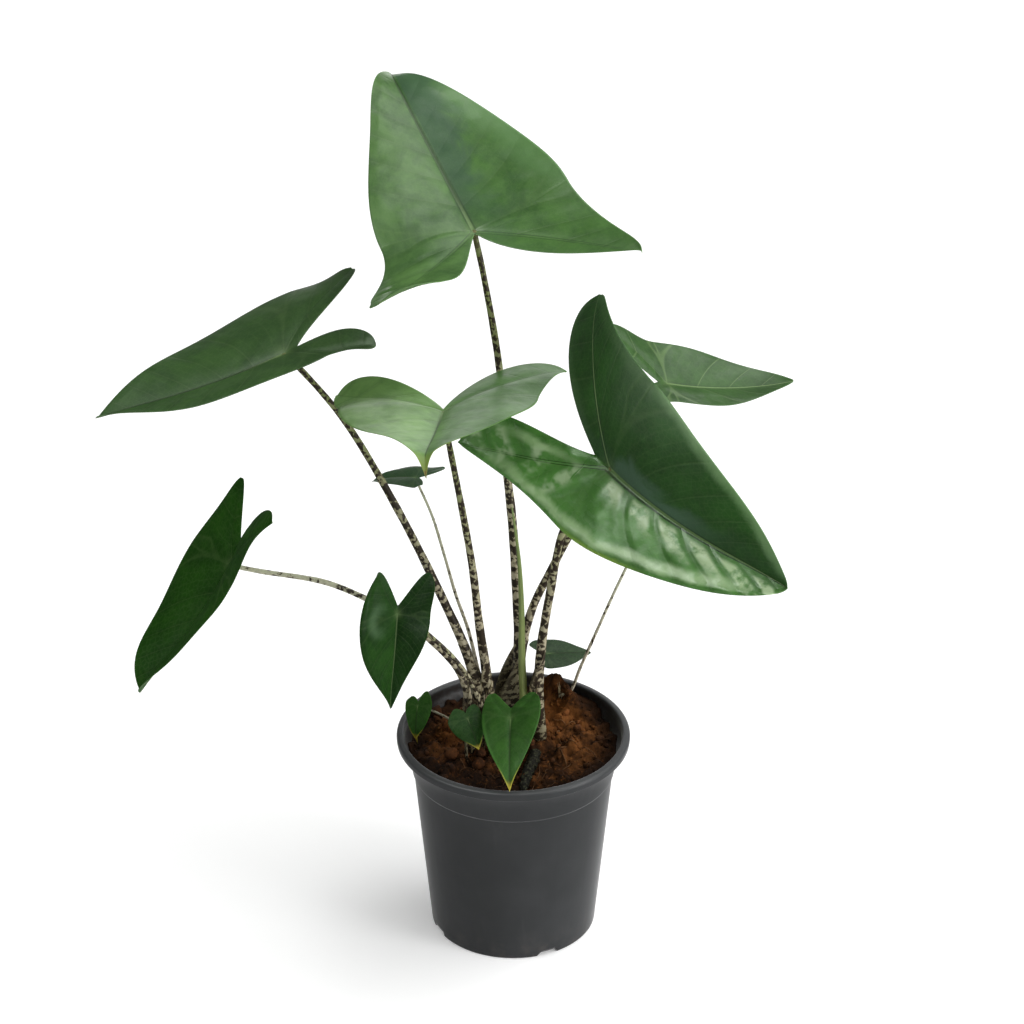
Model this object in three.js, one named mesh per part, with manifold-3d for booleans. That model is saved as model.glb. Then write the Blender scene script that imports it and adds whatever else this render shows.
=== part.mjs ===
import * as THREE from 'three';
import { mergeVertices } from 'three/addons/utils/BufferGeometryUtils.js';
import Module from 'manifold-3d';

// A zebra-stemmed alocasia in its nursery pot. Millimetres, +Z up.
// The origin is the middle of the pot's underside, where it stands.

const wasm = await Module();
wasm.setup();

// Pot
const POT_HEIGHT = 160;
const RIM_RADIUS = 85.5;
const LIP_HEIGHT = 7;
const LIP_WIDTH = 4.5;
const LIP_ROUND = 2.5;
const LIP_ARC_STEPS = 6;
const LIP_BEVEL = 0.8;
const FOOT_RADIUS = 60.6;
const WALL_TAPER = 0.097;
const WALL = 1.5;
const STEP_Z = 128;
const STEP_OUT = 1;
// Each step of the flare above the step ring goes out and up.
const FLARE = [[0, 1], [1.2, 9], [3, 16]];
const FLOOR_LOW = 3.6;
const FLOOR_TOP = 5.2;
const FOOT_RING = 4;
const BOSS_RADIUS = 20;
const BOSS_SLOPE = 1;
const EDGE_ROUND = 1.5;
const NOTCH_WIDTH = 14;
const NOTCH_COUNT = 4;
const NOTCH_START = -65;
const POT_SIDES = 48;

// Soil
const GAP = 0.35;
const SOIL_Z = 146;
const SOIL_RINGS = 10;
// Each ripple of the soil is its two frequencies, its phase and its height.
const SOIL_RIPPLES = [[0.31, 0.27, 1.2, 1], [0.31, -0.27, 0.4, 1], [0.55, -0.62, 0, 0.8]];
const SOIL_EDGE_LOW = 144.5;
const SOIL_EDGE_HIGH = 152;
// Each lump of soil is x, y, height and radius.
const SOIL_LUMPS = [
  [20, 65, 14, 13],
  [35, 59, 14, 13],
  [50, 44, 6, 16],
  [44, 8, 5, 20],
  [-48, 26, 6, 16],
  [-56, -16, 3, 18],
  [8, -58, -4, 30],
  [0, 8, 3, 26],
];

// Leaves
const BLADE = 0.8;
// The margin's waves are this share of the blade's length high.
const WAVE = 0.011;
const WAVE_TURNS = 2.5;
// How the outline of a half is drawn unless the leaf says otherwise: how round the lobe's tip is
// on its outer and its inner side, how full the margin is ahead of the shoulder, the angle at
// which the sinus ends, and the lobe's twist about its own rib.
const HALF_OUTLINE = { outer: 0.9, inner: 0.45, full: 1.2, notch: 20, twist: 0 };
// The same for the whole blade: how far behind the junction the sinus ends, and how full and at
// what angle the margin runs into the apex.
const BLADE_OUTLINE = { sinus: 2, apexFull: 0.8, apexAngle: 38 };
// How strongly the margin leaves the lobe for the shoulder, and the sinus runs into its end.
const BEHIND_SHOULDER = 1.1;
const INTO_SINUS = 1.1;
// The twist of a lobe grows no further past this share of its length.
const TWIST_REACH = 1.2;
// A blade longer than this is divided into more cells: along the lobe, along the blade, across.
const LARGE_LEAF = 90;
const LARGE_CELLS = [8, 9, 4];
const SMALL_CELLS = [4, 5, 2];
const RIB_PIECES = 12;
const RIB_CURL_START = 0.6;
const FOOT_DEPTH = 32;
const STEM_STAND = 3;
const PETIOLE_SIDES = 8;
const PETIOLE_STEPS = 12;
const PETIOLE_TAPER = 0.8;

const rad = THREE.MathUtils.degToRad;
const MERGE_DISTANCE = 1e-4;

// One half of a blade: its width at the shoulder, the lobe's length, the lobe's angle off the
// midrib line, how far the lobe rises towards its tip, the fold up from the midrib, the curl of
// the margin, in millimetres and degrees, and what its outline has of its own.
function half(width, lobe, spread, rise, fold, curl, own) {
  const { outer, inner, full, notch, twist } = { ...HALF_OUTLINE, ...own };
  const angles = { spread: rad(spread), rise: rad(rise), fold: rad(fold), curl: rad(curl) };
  return { width, lobe, ...angles, outer, inner, full, notch: rad(notch), twist: rad(twist) };
}

// A blade lies from its junction at along heading and pitch, rolled about the midrib. The sinus
// ends a little behind the junction. The petiole climbs from foot through via, with its radius
// at the soil and at the blade.
const LEAVES = [
  {
    name: 'top',
    at: [-28, 43, 543], heading: 112, pitch: 19, roll: -27,
    length: 172, shoulder: 4, bend: 19, tip: -70, sinus: 2, apexFull: 1.1, apexAngle: 35,
    left: half(68, 137, 37, 66, 38, -29, { twist: -3, outer: 0.7, inner: 1.35, full: 0.6, notch: 32 }),
    right: half(75, 132, 46, 12, -11, 14, { twist: 1, outer: 0.4, inner: -0.25, full: 0.75, notch: 23 }),
    foot: [0, 8], girth: [4.8, 2],
    via: [
      [3, 14, 187], [4, 19, 234], [2, 24, 274], [-1, 28, 321], [-5, 31, 362], [-10, 36, 439], [-21, 39, 511],
    ],
  },
  {
    name: 'left',
    at: [-160, 3, 468], heading: -163, pitch: -20, roll: -4,
    length: 139, shoulder: -25, bend: 18, tip: -10, sinus: 10, apexFull: 1, apexAngle: 36,
    left: half(32, 76, 40, 19, 20, -26, { twist: -5, outer: 0.85, inner: 0.5, full: 1.1, notch: 7 }),
    right: half(68, 87, 35, 6, 19, -40, { twist: -8, outer: 1, inner: 0.65, notch: 41 }),
    foot: [-20, -2], girth: [4.4, 1.9],
    via: [[-26, -1, 196], [-33, -1, 225], [-51, 0, 272], [-81, 7, 338], [-118, 17, 405], [-147, 12, 448]],
  },
  {
    name: 'lower_left',
    at: [-201, -15, 308], heading: -156, pitch: -61, roll: 5,
    length: 115, shoulder: 10, bend: 25, tip: -19, sinus: 17, apexAngle: 67,
    left: half(46, 90, 46, 14, 39, -39, { twist: 18, outer: 0, inner: 0.65, full: 1, notch: 11 }),
    right: half(47, 63, 24, 4, 30, -28, { outer: 0.1, inner: 0.3, full: 1.3, notch: 32 }),
    foot: [-29, -9], girth: [3.4, 1.6],
    via: [
      [-35, -10, 205], [-43, -10, 223], [-60, -11, 244], [-78, -11, 261], [-106, -12, 279], [-135, -13, 293],
      [-180, -15, 303],
    ],
  },
  {
    name: 'small_heart',
    at: [-82, -46, 286], heading: -106, pitch: -77, roll: -46,
    length: 72, shoulder: 6, bend: -7, tip: 14, sinus: 6, apexFull: 0.6, apexAngle: 25,
    left: half(27, 37, 41, 3, 9, -14, { outer: 0.85, inner: 0.65, full: 0.75, notch: 40 }),
    right: half(34, 38, 30, -7, 16, -13, { outer: 0.45, inner: 0.4, full: 1.25, notch: 29 }),
    foot: [-16, -12], girth: [2.2, 1.4],
    via: [[-27, -19, 205], [-42, -22, 234], [-60, -22, 254], [-76, -27, 272]],
  },
  {
    name: 'centre',
    at: [-49, -32, 441], heading: -95, pitch: 8, roll: 9,
    length: 118, shoulder: -11, bend: 10, tip: -19, sinus: 4, apexFull: 0.75, apexAngle: 30,
    left: half(66, 113, 45, -1, 17, -36, { twist: -1, outer: 0, inner: 0.65, full: 1.25 }),
    right: half(74, 94, 59, -5, 20, -31, { twist: -14, inner: 0.65, full: 0.95, notch: 31 }),
    foot: [-11, 6], girth: [4.3, 1.9],
    via: [[-18, 0, 195], [-21, -3, 222], [-25, -7, 258], [-29, -12, 302], [-35, -18, 347], [-45, -26, 412]],
  },
  {
    name: 'front_right',
    at: [66, -51, 405], heading: -52, pitch: -15, roll: 83,
    length: 161, shoulder: -4, bend: -35, tip: 19, sinus: 17, apexFull: 0.5, apexAngle: 49,
    left: half(71, 136, 32, -37, 1, -31, { twist: 1, outer: 0.4, inner: 0.95, notch: 24 }),
    right: half(53, 124, 24, 18, 45, -29, { outer: 0.1, inner: 1.15, full: 0.9, notch: 23 }),
    foot: [20, 2], girth: [4.4, 2],
    via: [[18, -2, 196], [20, -4, 232], [23, -5, 258], [27, -5, 284], [35, -6, 330], [53, -10, 372]],
  },
  {
    name: 'back_right',
    at: [110, 60, 415], heading: 25, pitch: -21, roll: 18,
    length: 102, shoulder: -4, bend: 23, tip: 4, sinus: 8, apexAngle: 35,
    left: half(35, 62, 38, 10, 23, -13, { outer: 0.75, inner: 0.5, full: 0.9, notch: 31 }),
    right: half(28, 74, 26, -14, 19, -15, { outer: 0.95, notch: 38 }),
    foot: [9, 18], girth: [4.2, 1.8],
    via: [[4, 22, 182], [6, 26, 213], [14, 31, 246], [27, 36, 274], [40, 40, 300], [62, 47, 343]],
  },
  {
    name: 'behind_small',
    at: [-71, 70, 333], heading: 164, pitch: -3, roll: -5,
    length: 35, shoulder: -2, bend: -22, tip: -6, sinus: 2,
    left: half(13, 12, 51, -2, 9, -19),
    right: half(13, 23, 36, 5, 16, -24),
    foot: [-14, 18], girth: [1.8, 0.9],
    via: [[-24, 28, 186], [-33, 38, 223], [-42, 46, 248], [-51, 55, 279], [-59, 62, 305]],
  },
  {
    name: 'rear_low',
    at: [25, 62, 189], heading: 17, pitch: -7, roll: 13,
    length: 35, shoulder: 0, bend: -6, tip: 3, sinus: 2,
    left: half(14, 15, 38, 3, 15, -20),
    right: half(16, 14, 37, -1, 7, -19),
    foot: [13, 33], girth: [1.8, 1.1],
    via: [[14, 44, 164], [18, 57, 178]],
  },
  {
    name: 'front_young',
    at: [-2, -35, 193], heading: -92, pitch: -18, roll: 8,
    length: 63, shoulder: -4, bend: -14, tip: -2, sinus: 9, apexAngle: 16,
    left: half(22, 27, 41, -2, 15, -19, { outer: 0.95, inner: 0.6, full: 1.1, notch: 43 }),
    right: half(21, 27, 34, 2, 12, -20, { inner: 0.6, full: 1.35, notch: 48 }),
    foot: [-3, -15], girth: [2.2, 1.4],
    via: [[-2, -21, 168], [-1, -29, 184]],
  },
  {
    name: 'rim_small',
    at: [-70, 4, 179], heading: -107, pitch: -64, roll: 17,
    length: 25, shoulder: -1, bend: -15, tip: -2, sinus: 3,
    left: half(12, 14, 32, 1, 9, -22),
    right: half(10, 8, 37, 2, 14, -21),
    foot: [-39, 14], girth: [1.2, 0.8],
    via: [[-47, 11, 163], [-56, 9, 170]],
  },
  {
    name: 'shaded_small',
    at: [-33, -28, 188], heading: -60, pitch: -44, roll: 10,
    length: 24, shoulder: 0, bend: -12, tip: 1, sinus: 4,
    left: half(11, 12, 49, 1, 10, -21),
    right: half(15, 12, 40, 0, 7, -21),
    foot: [-34, -19], girth: [1.2, 0.9],
    via: [[-34, -20, 168]],
  },
  {
    name: 'hidden_small',
    at: [92, 50, 292], heading: 10, pitch: -15, roll: 10,
    length: 42, shoulder: -2, bend: -10, tip: 0,
    left: half(17, 19, 34, 1, 12, -20),
    right: half(17, 19, 34, 1, 12, -20),
    foot: [35, 49], girth: [1.3, 1],
    via: [[41, 49, 162], [50, 49, 186], [61, 49, 215], [71, 50, 241], [81, 50, 266]],
  },
];

const SPEAR = {
  foot: [9, -4], girth: [3.4, 0.5],
  via: [[7, -2, 196], [6, -1, 229], [6, 0, 254], [4, 2, 303], [-1, 3, 345]],
};
const SPEAR_SIDES = 10;
const SPEAR_TAPER = 1.7;

// The old stem lies on the soil in front of the living ones.
const OLD_STEM = [[16, -11, 147], [14, -24, 149], [10, -39, 147], [7, -54, 143]];
const OLD_STEM_RADIUS = 4.4;
const OLD_STEM_KNOBS = 5;
const OLD_STEM_KNOB_HEIGHT = 0.12;
const OLD_STEM_TAPER = 0.25;
const OLD_STEM_STEPS = 20;

const COLOURS = {
  pot: [0x36383a, 0.5],
  soil: [0x5a2f1c, 0.95],
  blade: [0x2f5f2c, 0.35],
  petiole: [0x8b8458, 0.6],
  spear: [0x7d9442, 0.5],
  stem: [0x3c3a24, 0.8],
};

const part = new THREE.Group();

function addMesh(name, geometry, [color, roughness]) {
  const material = new THREE.MeshStandardMaterial({ color, roughness, metalness: 0, side: THREE.DoubleSide });
  const mesh = new THREE.Mesh(geometry, material);
  mesh.name = name;
  part.add(mesh);
}

function indexedGeometry(points, triangles) {
  const geometry = new THREE.BufferGeometry().setFromPoints(points);
  geometry.setIndex(triangles.flat());
  return geometry;
}

function toManifold(geometry) {
  const bare = geometry.clone();
  bare.deleteAttribute('normal');
  bare.deleteAttribute('uv');
  const merged = mergeVertices(bare, MERGE_DISTANCE);
  return new wasm.Manifold(new wasm.Mesh({
    numProp: 3,
    vertProperties: new Float32Array(merged.attributes.position.array),
    triVerts: new Uint32Array(merged.index.array),
  }));
}

function fromManifold(solid) {
  const mesh = solid.getMesh();
  const geometry = new THREE.BufferGeometry();
  geometry.setAttribute('position', new THREE.BufferAttribute(mesh.vertProperties, 3));
  geometry.setIndex(new THREE.BufferAttribute(mesh.triVerts, 1));
  return geometry;
}

// Pot

const wallRadius = (z) => FOOT_RADIUS + WALL_TAPER * z;

// Radius and height of the wall's outside, from the foot up to the lip.
const WALL_LINE = [
  [wallRadius(EDGE_ROUND), EDGE_ROUND],
  [wallRadius(STEP_Z), STEP_Z],
  ...FLARE.map(([out, up]) => [wallRadius(STEP_Z) + STEP_OUT + out, STEP_Z + up]),
  [RIM_RADIUS - LIP_WIDTH, POT_HEIGHT - LIP_HEIGHT],
];

function innerRadius(z) {
  for (let i = 1; i < WALL_LINE.length; i += 1) {
    const [r0, z0] = WALL_LINE[i - 1];
    const [r1, z1] = WALL_LINE[i];
    if (z <= z1) {
      return r0 + ((r1 - r0) * (z - z0)) / (z1 - z0) - WALL;
    }
  }
  return RIM_RADIUS - LIP_WIDTH - WALL;
}

function potGeometry() {
  const lipLow = POT_HEIGHT - LIP_HEIGHT;
  const lipHalf = (LIP_WIDTH + WALL) / 2;
  const lipTop = [];
  for (let i = 0; i <= LIP_ARC_STEPS; i += 1) {
    const angle = (Math.PI * i) / LIP_ARC_STEPS;
    const r = RIM_RADIUS - lipHalf + lipHalf * Math.cos(angle);
    lipTop.push([r, POT_HEIGHT - LIP_ROUND + LIP_ROUND * Math.sin(angle)]);
  }
  const profile = [
    [0, 0],
    [BOSS_RADIUS, 0],
    [BOSS_RADIUS + BOSS_SLOPE, FLOOR_LOW],
    [FOOT_RADIUS - FOOT_RING, FLOOR_LOW],
    [FOOT_RADIUS - FOOT_RING, 0],
    [FOOT_RADIUS - EDGE_ROUND, 0],
    ...WALL_LINE,
    [RIM_RADIUS - LIP_BEVEL, lipLow],
    [RIM_RADIUS, lipLow + LIP_BEVEL],
    ...lipTop,
    ...WALL_LINE.slice(1).reverse().map(([r, z]) => [r - WALL, z]),
    [innerRadius(FLOOR_TOP), FLOOR_TOP],
    [0, FLOOR_TOP],
  ];
  const lathe = new THREE.LatheGeometry(profile.map(([r, z]) => new THREE.Vector2(r, z)), POT_SIDES);
  lathe.rotateX(Math.PI / 2);
  let pot = toManifold(lathe);
  for (let i = 0; i < NOTCH_COUNT; i += 1) {
    const notch = new THREE.BoxGeometry(FOOT_RING * 4, NOTCH_WIDTH, FLOOR_LOW * 2);
    notch.translate(FOOT_RADIUS, 0, 0);
    notch.rotateZ(rad(NOTCH_START) + (i * 2 * Math.PI) / NOTCH_COUNT);
    pot = pot.subtract(toManifold(notch));
  }
  return fromManifold(pot);
}

// Tapering stems

// A closed tube through points, whose radius follows radiusAt from 0 at the foot to 1.
function taperedTube(points, radiusAt, sides, steps) {
  const curve = new THREE.CatmullRomCurve3(points.map((p) => new THREE.Vector3(...p)), false, 'centripetal');
  const frames = curve.computeFrenetFrames(steps, false);
  const vertices = [];
  const triangles = [];
  for (let i = 0; i <= steps; i += 1) {
    const centre = curve.getPointAt(i / steps);
    const radius = radiusAt(i / steps);
    for (let j = 0; j < sides; j += 1) {
      const angle = (j * 2 * Math.PI) / sides;
      const offset = frames.normals[i].clone().multiplyScalar(Math.cos(angle) * radius);
      offset.addScaledVector(frames.binormals[i], Math.sin(angle) * radius);
      vertices.push(centre.clone().add(offset));
      if (i < steps) {
        const a = i * sides + j;
        const b = i * sides + ((j + 1) % sides);
        triangles.push([a, b, b + sides], [a, b + sides, a + sides]);
      }
    }
  }
  const foot = vertices.push(curve.getPointAt(0)) - 1;
  const end = vertices.push(curve.getPointAt(1)) - 1;
  for (let j = 0; j < sides; j += 1) {
    const next = (j + 1) % sides;
    triangles.push([foot, next, j], [end, steps * sides + j, steps * sides + next]);
  }
  return indexedGeometry(vertices, triangles);
}

const taper = ([start, end], power) => (t) => start + (end - start) * t ** power;

// A stem goes straight down into the soil at its foot.
function stemPoints(foot, via) {
  const heights = [SOIL_Z - FOOT_DEPTH, SOIL_Z - FOOT_DEPTH / 2, soilHeight(...foot) + STEM_STAND];
  return [...heights.map((z) => [...foot, z]), ...via];
}

function stemGeometry({ points, girth, sides, power }, extra) {
  const radiusAt = taper(girth, power);
  return taperedTube(points, (t) => radiusAt(t) + extra, sides, PETIOLE_STEPS);
}

// The room that a stem takes in the soil, with its gap all round and under its foot.
function stemHole(stem) {
  const { points, girth, sides } = stem;
  const under = new THREE.CylinderGeometry(girth[0], girth[0], GAP * 2, sides);
  under.rotateX(Math.PI / 2);
  under.translate(...points[0]);
  return toManifold(stemGeometry(stem, GAP)).add(toManifold(under));
}

function oldStemGeometry(extra) {
  const knobs = (t) => 1 + OLD_STEM_KNOB_HEIGHT * Math.sin(t * OLD_STEM_KNOBS * 2 * Math.PI);
  const radiusAt = (t) => OLD_STEM_RADIUS * knobs(t) * (1 - OLD_STEM_TAPER * t) + extra;
  return taperedTube(OLD_STEM, radiusAt, PETIOLE_SIDES, OLD_STEM_STEPS);
}

// Soil

function soilHeight(x, y) {
  let z = SOIL_Z;
  for (const [kx, ky, phase, height] of SOIL_RIPPLES) {
    z += height * Math.sin(x * kx + y * ky + phase);
  }
  for (const [lx, ly, height, radius] of SOIL_LUMPS) {
    z += height * Math.exp(-((x - lx) ** 2 + (y - ly) ** 2) / radius ** 2);
  }
  return z;
}

function soilGeometry(holes) {
  const vertices = [new THREE.Vector3(0, 0, soilHeight(0, 0))];
  const triangles = [];
  const ring = (radiusOf, heightOf) => {
    for (let j = 0; j < POT_SIDES; j += 1) {
      const angle = (j * 2 * Math.PI) / POT_SIDES;
      const z = heightOf(angle);
      const r = radiusOf(z);
      vertices.push(new THREE.Vector3(r * Math.cos(angle), r * Math.sin(angle), z));
    }
  };
  const edge = innerRadius(SOIL_Z) - GAP;
  for (let i = 1; i < SOIL_RINGS; i += 1) {
    const r = (edge * i) / SOIL_RINGS;
    ring(() => r, (angle) => soilHeight(r * Math.cos(angle), r * Math.sin(angle)));
  }
  const edgeHeight = (angle) => {
    const z = soilHeight(edge * Math.cos(angle), edge * Math.sin(angle));
    return THREE.MathUtils.clamp(z, SOIL_EDGE_LOW, SOIL_EDGE_HIGH);
  };
  ring((z) => innerRadius(z) - GAP, edgeHeight);
  const sideHeights = [...WALL_LINE.slice(1, -1).reverse().map(([, z]) => z), FLOOR_TOP + GAP];
  for (const z of sideHeights) {
    ring(() => innerRadius(z) - GAP, () => z);
  }
  const rings = SOIL_RINGS + sideHeights.length;
  const base = vertices.push(new THREE.Vector3(0, 0, FLOOR_TOP + GAP)) - 1;
  for (let j = 0; j < POT_SIDES; j += 1) {
    const next = (j + 1) % POT_SIDES;
    triangles.push([0, 1 + j, 1 + next]);
    for (let i = 0; i < rings - 1; i += 1) {
      const a = 1 + i * POT_SIDES + j;
      const b = 1 + i * POT_SIDES + next;
      triangles.push([a, a + POT_SIDES, b + POT_SIDES], [a, b + POT_SIDES, b]);
    }
    const last = 1 + (rings - 1) * POT_SIDES;
    triangles.push([last + j, base, last + next]);
  }
  let soil = toManifold(indexedGeometry(vertices, triangles));
  for (const hole of holes) {
    soil = soil.subtract(hole);
  }
  return fromManifold(soil);
}

// Blades

function hermite(from, leaving, to, arriving, t) {
  const t2 = t * t;
  const t3 = t2 * t;
  return new THREE.Vector2()
    .addScaledVector(from, 2 * t3 - 3 * t2 + 1)
    .addScaledVector(leaving, t3 - 2 * t2 + t)
    .addScaledVector(to, 3 * t2 - 2 * t3)
    .addScaledVector(arriving, t3 - t2);
}

// The flat lines of one half, both from the lobe's tip to the apex: the margin, and the line
// down the sinus to its end, on to the junction in one cell, and along the midrib.
function halfLines(leaf, side, lobeCells, bladeCells) {
  const { width, lobe, spread, outer, inner, full, notch } = side;
  const { sinus, apexFull, apexAngle } = { ...BLADE_OUTLINE, ...leaf };
  const lobeTip = new THREE.Vector2(lobe * Math.sin(spread), -lobe * Math.cos(spread));
  const shoulder = new THREE.Vector2(width, leaf.shoulder);
  const apex = new THREE.Vector2(0, leaf.length);
  const sinusEnd = new THREE.Vector2(0, -sinus);
  const outward = new THREE.Vector2(Math.cos(spread), Math.sin(spread));
  const forward = new THREE.Vector2(0, 1);
  const intoSinus = new THREE.Vector2(-Math.sin(notch), Math.cos(notch));
  const intoApex = new THREE.Vector2(-Math.sin(rad(apexAngle)), Math.cos(rad(apexAngle)));
  const lobeSpan = lobeTip.distanceTo(shoulder);
  const bladeSpan = shoulder.distanceTo(apex);
  const scaled = (vector, factor) => vector.clone().multiplyScalar(factor);
  const roundLobe = scaled(outward, lobeSpan * outer);
  const behindShoulder = scaled(forward, lobeSpan * BEHIND_SHOULDER);
  const aheadOfShoulder = scaled(forward, bladeSpan * full);
  const atApex = scaled(intoApex, bladeSpan * apexFull);
  const roundSinus = scaled(outward, -lobe * inner);
  const atSinus = scaled(intoSinus, lobe * INTO_SINUS);
  const margin = [];
  const midline = [];
  for (let i = 0; i < lobeCells; i += 1) {
    margin.push(hermite(lobeTip, roundLobe, shoulder, behindShoulder, i / lobeCells));
    midline.push(hermite(lobeTip, roundSinus, sinusEnd, atSinus, i / (lobeCells - 1)));
  }
  for (let i = 0; i <= bladeCells; i += 1) {
    const t = i / bladeCells;
    margin.push(hermite(shoulder, aheadOfShoulder, apex, atApex, t));
    midline.push(new THREE.Vector2(0, leaf.length * t));
  }
  return { margin, midline };
}

// How far a rib of length 1 has gone along and up at t, when it bends evenly and its end curls.
function ribAt(t, bend, tip) {
  const angleAt = (s) => bend * s + tip * (Math.max(0, s - RIB_CURL_START) / (1 - RIB_CURL_START)) ** 2;
  let along = 0;
  let up = 0;
  for (let i = 0; i < RIB_PIECES; i += 1) {
    const angle = angleAt((t * (i + 0.5)) / RIB_PIECES);
    along += (Math.cos(angle) * t) / RIB_PIECES;
    up += (Math.sin(angle) * t) / RIB_PIECES;
  }
  return { along, up, angle: angleAt(t) };
}

// A flat point of one half, bent along the ribs, folded up from the midrib and curled. The lobe
// twists about the rib that runs down its middle.
function bentPoint(leaf, side, sign, flat, wave) {
  const forward = flat.y >= 0 ? 1 : -1;
  const reach = forward > 0 ? leaf.length : side.lobe;
  const bend = forward > 0 ? rad(leaf.bend) : side.rise;
  const tip = forward > 0 ? rad(leaf.tip) : 0;
  const rib = ribAt((forward * flat.y) / reach, bend, tip);
  const tilt = side.fold + (side.curl * flat.x) / side.width / 2;
  const lobeRib = Math.max(0, -flat.y * Math.tan(side.spread));
  const depth = THREE.MathUtils.clamp(-flat.y / (side.lobe * Math.cos(side.spread)), 0, TWIST_REACH);
  const turned = tilt + side.twist * depth * depth;
  const across = lobeRib * Math.cos(tilt) + (flat.x - lobeRib) * Math.cos(turned);
  const lift = lobeRib * Math.sin(tilt) + (flat.x - lobeRib) * Math.sin(turned) + wave;
  return new THREE.Vector3(
    sign * across,
    forward * rib.along * reach - forward * Math.sin(rib.angle) * lift,
    rib.up * reach + Math.cos(rib.angle) * lift,
  );
}

// Closes a sheet of triangles into a solid of even thickness below it.
function thicken(points, triangles, thickness) {
  const sheet = indexedGeometry(points, triangles);
  sheet.computeVertexNormals();
  const normals = sheet.attributes.normal;
  const count = points.length;
  const normalAt = (i) => new THREE.Vector3().fromBufferAttribute(normals, i);
  const under = points.map((p, i) => p.clone().addScaledVector(normalAt(i), -thickness));
  const all = [...triangles, ...triangles.map(([a, b, c]) => [a + count, c + count, b + count])];
  const edges = new Set(triangles.flatMap(([a, b, c]) => [`${a} ${b}`, `${b} ${c}`, `${c} ${a}`]));
  for (const edge of edges) {
    const [a, b] = edge.split(' ').map(Number);
    if (!edges.has(`${b} ${a}`)) {
      all.push([b, a, a + count], [b, a + count, b + count]);
    }
  }
  return indexedGeometry([...points, ...under], all);
}

function leafFrame(leaf) {
  const heading = rad(leaf.heading);
  const pitch = rad(leaf.pitch);
  const roll = rad(leaf.roll);
  const along = new THREE.Vector3().setFromSphericalCoords(1, Math.PI / 2 - pitch, heading);
  along.set(along.z, along.x, along.y);
  const level = new THREE.Vector3(Math.sin(heading), -Math.cos(heading), 0);
  const up = new THREE.Vector3().crossVectors(level, along);
  const right = level.clone().multiplyScalar(Math.cos(roll)).addScaledVector(up, -Math.sin(roll));
  const face = level.clone().multiplyScalar(Math.sin(roll)).addScaledVector(up, Math.cos(roll));
  return new THREE.Matrix4().makeBasis(right, along, face).setPosition(...leaf.at);
}

function bladeGeometry(leaf) {
  const [lobeCells, bladeCells, acrossCells] = leaf.length > LARGE_LEAF ? LARGE_CELLS : SMALL_CELLS;
  const cells = lobeCells + bladeCells;
  const points = [];
  const triangles = [];
  const shared = [];
  for (const [side, sign] of [[leaf.left, -1], [leaf.right, 1]]) {
    const { margin, midline } = halfLines(leaf, side, lobeCells, bladeCells);
    const index = [];
    for (let i = 0; i <= cells; i += 1) {
      index.push([]);
      for (let j = 0; j <= acrossCells; j += 1) {
        const onMidrib = j === 0 && i >= lobeCells - 1;
        if (onMidrib && sign > 0) {
          index[i].push(shared[i]);
        } else if (j > 0 && (i === 0 || i === cells)) {
          index[i].push(index[i][0]);
        } else {
          const v = j / acrossCells;
          const flat = midline[i].clone().lerp(margin[i], v);
          const wave = WAVE * leaf.length * v * v * Math.sin((i / cells) * WAVE_TURNS * 2 * Math.PI + sign);
          index[i].push(points.push(bentPoint(leaf, side, sign, flat, wave)) - 1);
        }
        if (onMidrib) {
          shared[i] = index[i][0];
        }
      }
    }
    for (let i = 0; i < cells; i += 1) {
      for (let j = 0; j < acrossCells; j += 1) {
        const [a, b, c, d] = [index[i][j], index[i][j + 1], index[i + 1][j + 1], index[i + 1][j]];
        const pair = sign > 0 ? [[a, b, c], [a, c, d]] : [[a, c, b], [a, d, c]];
        triangles.push(...pair.filter((t) => new Set(t).size === 3));
      }
    }
  }
  return thicken(points, triangles, BLADE).applyMatrix4(leafFrame(leaf));
}

// The petiole ends just under the blade's junction.
function petiolePoints(leaf) {
  const face = new THREE.Vector3().setFromMatrixColumn(leafFrame(leaf), 2);
  const junction = new THREE.Vector3(...leaf.at);
  const approach = junction.clone().sub(new THREE.Vector3(...leaf.via.at(-1))).normalize();
  const slant = Math.sqrt(1 - approach.dot(face) ** 2);
  const end = junction.addScaledVector(face, -(BLADE + GAP + leaf.girth[1] * slant));
  return [...stemPoints(leaf.foot, leaf.via), end.toArray()];
}

const stemHoles = [toManifold(oldStemGeometry(GAP))];

function addStem(name, stem, colour) {
  addMesh(name, stemGeometry(stem, 0), colour);
  stemHoles.push(stemHole(stem));
}

for (const leaf of LEAVES) {
  addMesh(`blade_${leaf.name}`, bladeGeometry(leaf), COLOURS.blade);
  const stem = { points: petiolePoints(leaf), girth: leaf.girth, sides: PETIOLE_SIDES, power: PETIOLE_TAPER };
  addStem(`petiole_${leaf.name}`, stem, COLOURS.petiole);
}
const spearPoints = stemPoints(SPEAR.foot, SPEAR.via);
const spear = { points: spearPoints, girth: SPEAR.girth, sides: SPEAR_SIDES, power: SPEAR_TAPER };
addStem('spear_leaf', spear, COLOURS.spear);
addMesh('old_stem', oldStemGeometry(0), COLOURS.stem);
addMesh('soil', soilGeometry(stemHoles), COLOURS.soil);
addMesh('pot', potGeometry(), COLOURS.pot);

export default part;
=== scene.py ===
import math

import bmesh
import bpy
import numpy as np
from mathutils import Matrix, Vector, noise


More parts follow.
